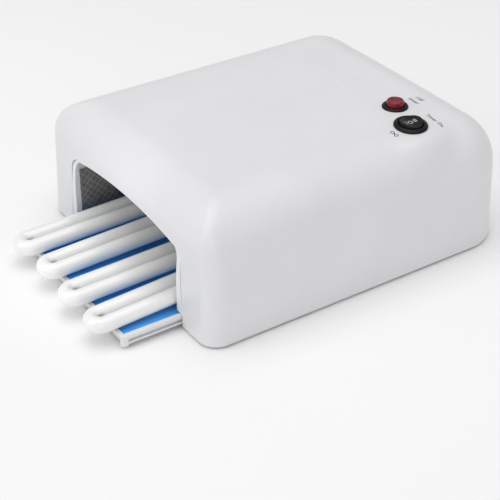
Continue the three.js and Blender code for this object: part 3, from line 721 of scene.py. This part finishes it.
def turned_mesh(name, profile, place, steps=64, sharp=35):
    """A turned solid placed by a matrix in housing millimetres, its pole points merged."""
    points, faces = turned(profile, steps)
    return merged(mesh_of(name, in_place(moved(points.reshape(-1, 3), place)), faces, sharp), sharp)


def swept(path, radius, steps=8):
    """Tube along a path: each ring lies across the path's direction, in the plane of its side vector (level,
    square to the path) and the cross of the two."""
    ahead = np.gradient(path, axis=0)
    ahead /= np.linalg.norm(ahead, axis=1, keepdims=True)
    beside = np.cross(ahead, (0, 0, 1.0))
    beside /= np.linalg.norm(beside, axis=1, keepdims=True)
    above = np.cross(beside, ahead)
    angle = np.linspace(0, 2 * np.pi, steps, endpoint=False)
    radius = np.broadcast_to(radius, len(path))[:, None, None]
    rings = path[:, None] + radius * (np.cos(angle)[None, :, None] * beside[:, None]
                                      + np.sin(angle)[None, :, None] * above[:, None])
    return rings, capped_faces(len(path), steps)


seat_frame = Matrix.Translation((SEAT["x"], SEAT["y"], SEAT["z"])) @ Matrix.Rotation(SEAT["tilt"], 4, "Y")
facing_back = Matrix.Rotation(-math.pi / 2, 4, "X")
gland_frame = Matrix.Translation((GLAND["x"], -SHELL_FRONT, GLAND["z"])) @ facing_back
button_frame = Matrix.Translation((BUTTON["x"], BUTTON["y"], SHELL["height"]))


def plug(radius, place, low=-20, high=6):
    """A plain round cutter."""
    return turned_mesh("plug", [(0, low), (radius, low), (radius, high), (0, high)], place)


plain_front(shell_mesh)
cut_away(shell, [plug(BUTTON["hole"], button_frame), plug(ROCKER_HOLE, seat_frame),
                 plug(GLAND["hole"], gland_frame, -8, 4)])
mouth_cut = along_y(arch_line(**MOUTH, low=-2.0), SHELL_FRONT - 4, SHELL_FRONT + 12)
cut_away(shell, [mouth_cut], MOUTH_EDGE * MM)

# ----------------------------------------
# Screw posts and screws: six hollow posts moulded inside the shell take the pan-head
# steel screws that hold the base plate.
# ----------------------------------------
POSTS = [(-88, -96), (88, -96), (-88, 0), (88, 0), (-88, 94), (88, 94)]
POST_PROFILE = [(1.9, 2.9), (3.6, 2.9), (3.9, 70), (0, 70), (0, 16), (1.9, 16), (1.9, 2.9)]
SCREW_HEAD = [(0, 0.9), (0.9, 0.9), (0.9, 0.45), (1.8, 0.45), (2.5, 0.6), (2.9, 0.95), (3.0, 1.3)]
THREAD = {"pitch": 1.0, "crest": 1.6, "root": 1.25, "start": 1.6, "steps": 20, "end": 13}

steel = patterned("bright_steel", [(0.52, 0.53, 0.54), (0.60, 0.61, 0.62)], 0.003, (0.25, 0.4),
                  0.0003, 0.000006, metallic=1.0)
thread = [(THREAD["crest"] if step % 2 else THREAD["root"], THREAD["start"] + step * THREAD["pitch"] / 2)
          for step in range(THREAD["steps"])]
for number, (x, y) in enumerate(POSTS, 1):
    here = Matrix.Translation((x, y, 0))
    add_piece(f"screw_post_{number}", turned_mesh("screw_post", POST_PROFILE, here, 32), white_plastic,
              "housing", "white_plastic")
    screw_profile = [*SCREW_HEAD, (THREAD["crest"], SCREW_HEAD[-1][1]), *thread, (0, THREAD["end"])]
    screw = turned_mesh("screw", screw_profile, here, 32)
    add_piece(f"pan_screw_{number}", screw, steel, "housing", "steel", f"base_screw_{number}")

# ----------------------------------------
# Feet and cord bush: moulded black rubber. The feet are glued under the plate, and
# the grooved bush snaps into the hole at the rear where a mains lead would enter.
# ----------------------------------------
FEET = [(-88, -78), (88, -78), (-72, 98), (72, 98)]
FOOT_PROFILE = [(0, -1.7), (3.4, -1.7), (3.9, -2.0), (5.0, -2.0), (5.5, -1.85), (5.9, -1.4), (6.3, -0.2),
                (6.2, 0.05), (0, 0.05)]
BUSH_PROFILE = [(3.6, -5.2), (3.9, -5.4), (6.6, -5.4), (7.0, -5.0), (7.0, -3.5), (6.7, -3.2), (5.0, -3.2),
                (5.0, 0.2), (7.1, 0.2), (7.4, 0.5), (7.2, 1.2), (6.6, 1.75), (4.1, 1.75), (3.6, 1.3),
                (3.6, -5.2)]

rubber = patterned("black_rubber", [(0.018, 0.018, 0.019), (0.035, 0.035, 0.036)], 0.004, (0.7, 0.9),
                   0.0004, 0.00002, specular=0.3)
for number, (x, y) in enumerate(FEET, 1):
    foot = turned_mesh("foot", FOOT_PROFILE, Matrix.Translation((x, y, 0)), 40)
    add_piece(f"rubber_foot_{number}", foot, rubber, "housing", "rubber", f"foot_{number}")
add_piece("cord_bush", turned_mesh("cord_bush", BUSH_PROFILE, gland_frame, 48), rubber, "housing", "rubber",
          "cord_gland")

# ----------------------------------------
# Timer button: a black barrel with a rolled rim, held under the top by a nut, with a
# translucent red cap that has a shallow dish and stands on a coil spring.
# ----------------------------------------
BARREL = [(0, -19), (7.5, -19), (7.7, -18.7), (7.7, 0.05), (8.75, 0.05), (8.9, 0.3), (8.88, 0.75),
          (8.65, 1.15), (8.2, 1.45), (7.4, 1.75), (6.8, 1.9), (6.5, 1.85), (6.32, 1.6), (6.3, 1.1),
          (6.3, -16), (0, -16)]
CAP = [(0, -12), (2.4, -12), (2.4, -6), (5.9, -6), (5.9, 2.65), (5.85, 4.15), (5.6, 4.8), (5.2, 5.1),
       (4.75, 5.05), (4.4, 4.75), (3.4, 4.57), (2.0, 4.47), (0, 4.45)]
COIL = {"radius": 4.2, "wire": 0.4, "low": -15.3, "high": -6.7, "turns": 4.0, "steps": 36}
NUT_EDGE = 0.3 * MM

black_plastic = patterned("black_satin", [(0.009, 0.009, 0.010), (0.014, 0.014, 0.015)], 0.004, (0.28, 0.4),
                          0.0004, 0.000008, specular=0.14)
red_plastic = patterned("red_lens", [(0.15, 0.002, 0.010), (0.22, 0.004, 0.016)], 0.003, (0.12, 0.2),
                        0.0006, 0.00001, specular=0.45)
add_piece("button_barrel", turned_mesh("button_barrel", BARREL, button_frame, 72, 50), black_plastic,
          "housing", "black_plastic", "timer_button_bezel")
add_piece("button_cap", turned_mesh("button_cap", CAP, button_frame, 72, 50), red_plastic, "timer_button",
          "red_plastic", "timer_button_cap")
eased_copy("timer_button_nut", "button_nut", black_plastic, "housing", "black_plastic", NUT_EDGE)
winding = np.linspace(0, 2 * np.pi * COIL["turns"], int(COIL["steps"] * COIL["turns"]) + 1)
coil_z = np.linspace(COIL["low"] + COIL["wire"], COIL["high"] - COIL["wire"], len(winding))
coil_path = np.stack([COIL["radius"] * np.cos(winding) + BUTTON["x"],
                      COIL["radius"] * np.sin(winding) + BUTTON["y"], coil_z + SHELL["height"]], -1)
coil_rings, coil_faces = swept(coil_path, COIL["wire"], 12)
coil = add_piece("button_spring", mesh_of("button_spring", in_place(coil_rings), coil_faces, 60), steel,
                 "housing", "steel", "timer_button_spring")
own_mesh(coil)

# ----------------------------------------
# Rocker switch: a round black snap-in switch with a broad rounded bezel. The paddle
# is a dished disc on trunnions, with its marks printed in pale ink.
# ----------------------------------------
SWITCH = [(0, -14), (9.3, -14), (9.6, -13.7), (9.6, 0.05), (11.25, 0.05), (11.4, 0.25), (11.38, 0.7),
          (11.15, 1.05), (10.6, 1.4), (9.8, 1.8), (9.2, 2.1), (8.85, 2.15), (8.6, 1.95), (8.5, 1.5),
          (8.5, -8), (0, -8)]
BLADE = {"at": (-5.0, 0.0, 5.0), "half": 3.0, "thickness": 0.8, "low": -22.0, "high": -13.5, "edge": 0.2}
PADDLE = {"radius": 7.75, "end": 7.4, "high": 4.2, "low": 2.5, "power": 1.6, "rings": 14, "steps": 72}
PADDLE_FACE = 7.4
PADDLE_ROUND = ((7.65, 0.12), (7.75, 0.4))
PADDLE_UNDER = ((7.75, -1.5), (3.875, -5.0), (0.0, -5.6))
MARK = {"half": 1.7, "thick": 0.23, "lift": 0.03, "ring": 1.55, "ring_at": -0.6, "bars": (-4.1, 2.55, 3.65)}

add_piece("rocker_bezel", turned_mesh("rocker_bezel", SWITCH, seat_frame, 84, 50), black_plastic, "housing",
          "black_plastic", "rocker_switch_body")


def slab(name, low, high):
    """A box of the switch's own frame between two corners."""
    corners = np.stack(np.meshgrid(*zip(low, high), indexing="ij"), -1).reshape(-1, 3)
    faces = [[0, 1, 3, 2], [4, 6, 7, 5], [0, 4, 5, 1], [2, 3, 7, 6], [0, 2, 6, 4], [1, 5, 7, 3]]
    return mesh_of(name, in_place(moved(corners, seat_frame)), faces)


for number, blade_y in enumerate(BLADE["at"], 1):
    blade_low = (-BLADE["half"], blade_y - BLADE["thickness"] / 2, BLADE["low"])
    blade_high = (BLADE["half"], blade_y + BLADE["thickness"] / 2, BLADE["high"])
    blade = add_piece(f"switch_blade_{number}", slab("switch_blade", blade_low, blade_high), steel, "housing",
                      "steel")
    ease_edges(blade, BLADE["edge"] * MM)


def paddle_height(y):
    """Face of the paddle: lowest along its axis, rising towards both ends by the 1.6th power of the share."""
    return PADDLE["low"] + (PADDLE["high"] - PADDLE["low"]) * np.abs(y / PADDLE["end"]) ** PADDLE["power"]


ring_turn = np.linspace(0, 2 * np.pi, PADDLE["steps"], endpoint=False)[None]


def paddle_rings(radii, heights):
    """Rings of the paddle at the given radii and heights."""
    radii = np.reshape(radii, (-1, 1))
    return np.stack(np.broadcast_arrays(radii * np.cos(ring_turn), radii * np.sin(ring_turn), heights), -1)


face_radii = np.linspace(0, 1, PADDLE["rings"])[:, None] * PADDLE_FACE
face_heights = paddle_height(face_radii * np.sin(ring_turn))
paddle_points = np.concatenate(
    [paddle_rings(face_radii, face_heights)]
    + [paddle_rings(radius, face_heights[-1:] - drop) for radius, drop in PADDLE_ROUND]
    + [paddle_rings(radius, height) for radius, height in PADDLE_UNDER])
paddle_mesh = merged(mesh_of("rocker_paddle_moulding", in_place(moved(paddle_points, seat_frame)),
                             grid_faces(*paddle_points.shape[:2], wrap_columns=True), 45), 45)
add_piece("rocker_dish", paddle_mesh, black_plastic, "rocker", "black_plastic", "rocker_paddle")

pale_ink = patterned("pale_ink", [(0.62, 0.62, 0.60), (0.70, 0.70, 0.68)], 0.001, (0.5, 0.6), 0.0002,
                     0.000004)


def face_up(mesh):
    """Turns every face of a printed mark to point upwards."""
    with opened(mesh) as work:
        bmesh.ops.reverse_faces(work, faces=[f for f in work.faces if f.normal.z < 0])


def printed(name, grids, material, body, slot, wrap=()):
    """Thin printed marks: each grid of points is one strip, raised a hair over the surface."""
    points, faces, offset = [], [], 0
    for number, grid in enumerate(grids):
        points.append(grid.reshape(-1, 3))
        quads = np.array(grid_faces(*grid.shape[:2], wrap_columns=number in wrap)) + offset
        faces += quads.tolist()
        offset += grid.shape[0] * grid.shape[1]
    mesh = bpy.data.meshes.new(name)
    mesh.from_pydata(in_place(np.concatenate(points)).tolist(), [], faces)
    face_up(mesh)
    return add_piece(name, mesh, material, body, slot)


def on_paddle(x, y):
    """Points laid on the paddle's face and raised by the thickness of the ink."""
    return moved(np.stack([x, y, paddle_height(y) + MARK["lift"]], -1), seat_frame)


def bar_mark(y):
    """A short bar across the paddle at y."""
    x_line = np.linspace(MARK["half"], -MARK["half"], 9)[None]
    y_line = y + np.array([-MARK["thick"], MARK["thick"]])[:, None]
    x, y = np.broadcast_arrays(x_line, y_line)
    return on_paddle(x, y)


ring_radii = MARK["ring"] + np.array([-MARK["thick"], MARK["thick"]])[:, None]
ring_angles = np.linspace(0, 2 * np.pi, 40, endpoint=False)[None]
ring_mark = on_paddle(ring_radii * np.cos(ring_angles), ring_radii * np.sin(ring_angles) + MARK["ring_at"])
marks = [ring_mark, *(bar_mark(y) for y in MARK["bars"])]
printed("rocker_marks", marks, pale_ink, "rocker", "black_plastic", wrap=(0,))

# ----------------------------------------
# Legends: plain words and an endless-loop sign pad-printed in dark blue ink beside
# the two switches.
# ----------------------------------------
INK_LIFT = 0.05
WORD_STEP = 0.8
LEGENDS = [("120'", 46.6, 82.4, 4.0), ("timer", 46.6, 77.4, 4.0), ("Timer On", 74.3, 72.4, 3.7)]
WORD_SPACING = 1.12
WORD_WEIGHT = 0.06 * MM
LOOP = {"x": 74.3, "y": 39.6, "half": 3.1, "tall": 1.2, "thick": 0.27, "steps": 72}

blue_ink = patterned("navy_ink", [(0.008, 0.012, 0.085), (0.014, 0.02, 0.12)], 0.001, (0.4, 0.5), 0.0002,
                     0.000004)
shell.data.calc_loop_triangles()
shell_tree = BVHTree.FromPolygons([v.co for v in shell.data.vertices],
                                  [t.vertices for t in shell.data.loop_triangles])


def on_top(points):
    """Points dropped straight down on the housing's top and raised by the thickness of the ink."""
    above = in_place(points * (1, 1, 0) + (0, 0, 200))
    height = [shell_tree.ray_cast(place, (0, 0, -1))[0].z / MM for place in above.reshape(-1, 3)]
    points = np.array(points)
    points[..., 2] = np.reshape(height, points.shape[:-1]) - FLOOR_TO_SHELL + INK_LIFT
    return points


for number, (words, x, y, size) in enumerate(LEGENDS, 1):
    text = bpy.data.curves.new(f"legend_{number}", "FONT")
    text.body = words
    text.size = size * MM
    text.align_x = "CENTER"
    text.space_character = WORD_SPACING
    text.offset = WORD_WEIGHT
    text_object = bpy.data.objects.new("words", text)
    scene.collection.objects.link(text_object)
    word_mesh = bpy.data.meshes.new_from_object(
        text_object.evaluated_get(bpy.context.evaluated_depsgraph_get()))
    bpy.data.objects.remove(text_object)
    with opened(word_mesh) as work:
        bmesh.ops.remove_doubles(work, verts=work.verts, dist=MERGE)
        bmesh.ops.triangulate(work, faces=work.faces)
        for _ in range(3):
            long_edges = [e for e in work.edges if e.calc_length() > WORD_STEP * MM]
            bmesh.ops.subdivide_edges(work, edges=long_edges, cuts=1)
            bmesh.ops.triangulate(work, faces=work.faces)
    flat = np.zeros(len(word_mesh.vertices) * 3)
    word_mesh.vertices.foreach_get("co", flat)
    laid_words = on_top(flat.reshape(-1, 3) / MM + (x, y, 0))
    word_mesh.vertices.foreach_set("co", in_place(laid_words).ravel())
    word_mesh.validate()
    face_up(word_mesh)
    word_mesh.materials.clear()
    add_piece(f"legend_{number}", word_mesh, blue_ink, "housing", "white_plastic")

loop_turn = np.linspace(0, 2 * np.pi, LOOP["steps"], endpoint=False)
loop_line = np.stack([LOOP["half"] * np.cos(loop_turn),
                      LOOP["tall"] * np.sin(2 * loop_turn), 0 * loop_turn], -1)
loop_ahead = np.roll(loop_line, -1, 0) - np.roll(loop_line, 1, 0)
loop_ahead /= np.linalg.norm(loop_ahead, axis=1, keepdims=True)
loop_beside = np.stack([-loop_ahead[:, 1], loop_ahead[:, 0], 0 * loop_turn], -1)
loop_grid = np.stack([loop_line - LOOP["thick"] * loop_beside, loop_line + LOOP["thick"] * loop_beside])
loop_grid = on_top(loop_grid + (LOOP["x"], LOOP["y"], 0))
printed("endless_sign", [loop_grid], blue_ink, "housing", "white_plastic", wrap=(0,))

# ----------------------------------------
# Electrics in the rear bay: a soldered timer board on four pads and two chokes with
# laminated cores and taped windings.
# ----------------------------------------
board = patterned("green_board", [(0.02, 0.10, 0.035), (0.03, 0.16, 0.06)], 0.004, (0.3, 0.5), 0.0008,
                  0.00003, coat=0.3)
core = patterned("varnished_core", [(0.10, 0.09, 0.085), (0.20, 0.19, 0.18)], 0.004, (0.4, 0.6), 0.0008,
                 0.00006, metallic=0.6, stretch=(0.2, 6, 0.2))
for node, material in (("timer_board", board), ("ballast_1", core), ("ballast_2", core)):
    cad_nodes[node].data.materials.clear()
    cad_nodes[node].data.materials.append(material)

# ----------------------------------------
# Tray: a shallow white moulding with a groove down each side for the rails, square
# posts at its front corners and a recessed front face.
# ----------------------------------------
TRAY_EDGE = 0.35 * MM

eased_copy("tray_body", "tray_moulding", white_plastic, "tray", "white_plastic", TRAY_EDGE, 3)

# ----------------------------------------
# Film in the tray: rolled foil laid in the pocket under a sheet of glossy blue film
# that lies almost flat, with slow ripples from its roll.
# ----------------------------------------
FILM_STEP = 2.0
FILM_THICKNESS = 0.3
RIPPLE = {"height": 0.07 * MM, "along": 0.019, "slant": 0.07 / 3, "across": 0.023}
TRAY_FOIL = {"step": 0.9 * MM, "relief": 0.3 * MM, "thickness": 0.15 * MM}

film_low, film_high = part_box("tray_film")
foil_low, foil_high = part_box("tray_reflector")


def sheet_grid(low, high, step):
    """Level grid of x and y over a box's plan, in metres."""
    x_line = np.linspace(low.x, high.x, int((high.x - low.x) / step) + 1)
    y_line = np.linspace(low.y, high.y, int((high.y - low.y) / step) + 1)
    return np.meshgrid(x_line, y_line)


def laid_sheet(name, x, y, z, material, slot, node, thickness):
    """A sheet lying in the tray, thickened downwards from its upper face."""
    return thin_sheet(name, np.stack([x, y, z], -1), material, "tray", slot, node, thickness, -1)


film_blue = patterned("blue_film", [(0.075, 0.36, 0.85), (0.10, 0.42, 0.92)], 0.03, (0.12, 0.22), 0.004,
                      0.00003, coat=0.5, coat_roughness=0.05)
film_x, film_y = sheet_grid(film_low, film_high, FILM_STEP * MM)
ripple = np.sin(film_y / RIPPLE["along"] + film_x / RIPPLE["slant"]) * np.sin(film_x / RIPPLE["across"])
film_z = film_high.z - RIPPLE["height"] * (1 + ripple) / 2
laid_sheet("film_sheet", film_x, film_y, film_z, film_blue, "blue_film", "tray_film", FILM_THICKNESS * MM)
foil_x, foil_y = sheet_grid(foil_low, foil_high, TRAY_FOIL["step"])
tray_diamonds = diamonds(foil_x / MM, foil_y / MM)
foil_z = foil_high.z - TRAY_FOIL["relief"] * (1 - tray_diamonds)
tray_foil = laid_sheet("tray_foil", foil_x, foil_y, foil_z, foil, "embossed_metal", "tray_reflector",
                       TRAY_FOIL["thickness"])
# The crest heights also mask the painted highlight that lightens the foil on its ridge crests.
store(tray_foil, "crest", tray_diamonds)

# ----------------------------------------
# Tubes: four U-bent lamps, white phosphor inside clear glossy glass, cemented into
# moulded bases with two brass pins. They lie loose side by side on the tray.
# ----------------------------------------
TUBES = [(-48.0, -177.0, -0.6), (-14.8, -176.6, 0.5), (20.0, -179.0, -0.2), (54.4, -179.5, 1.5)]
GLASS_RADIUS = 5.3
LEG = 6.1
TUBE_LENGTH = 139.0
BASE = {"width": 28.4, "height": 18.0, "length": 25.0, "corner": 5.0}
LEG_END = TUBE_LENGTH - BASE["length"] + 8.0
# Painted shade: reach, fade and colour of the darkening laid on the glass near the round end of each tube's
# slot, standing for the shade in the gap between the legs.
SLOT_SHADE_SPREAD = {"reach": 2.0, "fade": 1.1, "stretch": 0.5}
SLOT_SHADE_COLOUR = (0.30, 0.30, 0.31)
GROOVES = {"at": (8.0, 11.5, 15.0), "half": 0.8, "floor": 0.4, "depth": 0.5}
BASE_FRONT = ((0.0, 1.6), (0.25, 0.8), (0.7, 0.25), (1.4, 0.0))
BASE_BACK = ((-1.0, 0.0), (-0.4, 0.2), (0.0, 0.8))
POST = {"width": 13.0, "height": 9.0, "length": 10.0, "corner": 1.2}
POST_END = {"ease": 0.8, "cut": 1.4, "corner_cut": 0.5}
PIN = [(0, -3), (1.05, -3), (1.1, -2.9), (1.1, 5.2), (0.95, 5.7), (0.6, 5.95), (0, 6.0)]
PIN_X = 10.2
RIM_Y = -162.1
FRONT_AXIS = 13.1
REAR_AXIS = 16.0

glass = patterned("phosphor_glass", [(0.88, 0.88, 0.875), (0.92, 0.92, 0.912)], 0.02, (0.18, 0.26), 0.003,
                  0.00002, coat=0.7, coat_roughness=0.1)
# Painted shade: the glass colour is blended towards dark grey near the slot's round end.
toned_by(glass, "painted_slot_shade", SLOT_SHADE_COLOUR)
brass = patterned("pin_brass", [(0.70, 0.52, 0.24), (0.80, 0.62, 0.30)], 0.002, (0.2, 0.35), 0.0003,
                  0.000005, metallic=1.0)


def u_path(leg_steps=26, bend_steps=36):
    """Centre line of a U tube: down one leg, a half circle about the middle, and back up the other leg."""
    centre = LEG + GLASS_RADIUS
    down = np.linspace(LEG_END, centre, leg_steps + 1)[:-1]
    turn = np.linspace(0, np.pi, bend_steps + 1)
    first = np.stack([np.full(leg_steps, -LEG), down, 0 * down], -1)
    bend = np.stack([-LEG * np.cos(turn), centre - LEG * np.sin(turn), 0 * turn], -1)
    last = np.stack([np.full(leg_steps, LEG), down[::-1], 0 * down], -1)
    return np.concatenate([first, bend, last])


def slot_shade_share(rings):
    """Share of painted shade: points within a few millimetres of the slot's round end, fading outwards, where
    the glass is darkened to stand for the shade between the legs.
    """
    beyond = rings[..., 1] - LEG - GLASS_RADIUS
    away = np.hypot(rings[..., 0], np.minimum(beyond, 0) + SLOT_SHADE_SPREAD["stretch"] * np.maximum(beyond, 0))
    return np.clip((SLOT_SHADE_SPREAD["reach"] - away) / SLOT_SHADE_SPREAD["fade"], 0, 1)


def rounded_section(width, height, corner, steps=8):
    """(x, z) pairs round a rectangle with quarter-circle corners."""
    turn = np.radians(np.arange(4)[:, None] * 90 + np.linspace(0, 90, steps + 1)[None])
    signs = np.array([(1, 1), (-1, 1), (-1, -1), (1, -1)])[:, None]
    centre = signs * (width / 2 - corner, height / 2 - corner)
    return (centre + corner * np.stack([np.cos(turn), np.sin(turn)], -1)).reshape(-1, 2)


def lofted(stations):
    """Closed solid through rounded rectangles: (y, width, height, corner) stations joined in order, with
    flat ends."""
    rings = np.stack([upright(rounded_section(*section), y) for y, *section in stations])
    return rings, capped_faces(*rings.shape[:2])


def base_stations():
    """Stations of a tube's base: eased front edge, three shallow finger grooves, eased rear edge."""
    front, back = TUBE_LENGTH - BASE["length"], TUBE_LENGTH
    width, height, corner = BASE["width"], BASE["height"], BASE["corner"]
    line = [(front + step, cut) for step, cut in BASE_FRONT]
    for place in GROOVES["at"]:
        shape = ((-GROOVES["half"], 0.0), (-GROOVES["floor"], GROOVES["depth"]),
                 (GROOVES["floor"], GROOVES["depth"]), (GROOVES["half"], 0.0))
        line += [(front + place + step, depth) for step, depth in shape]
    line += [(back + step, cut) for step, cut in BASE_BACK]
    return [(y, width - cut, height - cut, corner - cut / 2) for y, cut in line]


path = u_path()
for number, (x, tip_y, turn) in enumerate(TUBES, 1):
    tilt = math.atan((REAR_AXIS - FRONT_AXIS) / (tip_y + TUBE_LENGTH - BASE["length"] - RIM_Y))
    lift = FRONT_AXIS + (tip_y - RIM_Y) * math.tan(tilt)
    lay = (Matrix.Translation((x, tip_y, lift)) @ Matrix.Rotation(math.radians(turn), 4, "Z")
           @ Matrix.Rotation(tilt, 4, "X"))
    body = f"tube_{number}"
    rings, faces = swept(path, GLASS_RADIUS, 36)
    glass_mesh = mesh_of("glass", in_place(moved(rings, lay)), faces, 60)
    # Stores the share of painted shade near the slot's round end.
    store(glass_mesh, "painted_slot_shade", slot_shade_share(rings))
    add_piece(f"glass_{number}", glass_mesh, glass, body, "tube_glass", f"uv_tube_{number}")
    rings, faces = lofted(base_stations())
    add_piece(f"base_{number}", mesh_of("base", in_place(moved(rings, lay)), faces, 40), lamp_plastic, body,
              "lamp_base", f"tube_base_{number}")
    end = TUBE_LENGTH + POST["length"]
    rings, faces = lofted([(TUBE_LENGTH - 1, POST["width"], POST["height"], POST["corner"]),
                           (end - POST_END["ease"], POST["width"], POST["height"], POST["corner"]),
                           (end, POST["width"] - POST_END["cut"], POST["height"] - POST_END["cut"],
                            POST["corner"] - POST_END["corner_cut"])])
    add_piece(f"base_key_{number}", mesh_of("base_key", in_place(moved(rings, lay)), faces, 30), lamp_plastic,
              body, "lamp_base")
    for letter, pin_x in (("a", -PIN_X), ("b", PIN_X)):
        stand = lay @ Matrix.Translation((pin_x, TUBE_LENGTH, 0)) @ facing_back
        add_piece(f"pin_{number}{letter}", turned_mesh("pin", PIN, stand, 24), brass, body, "brass",
                  f"tube_pin_{number}{letter}")
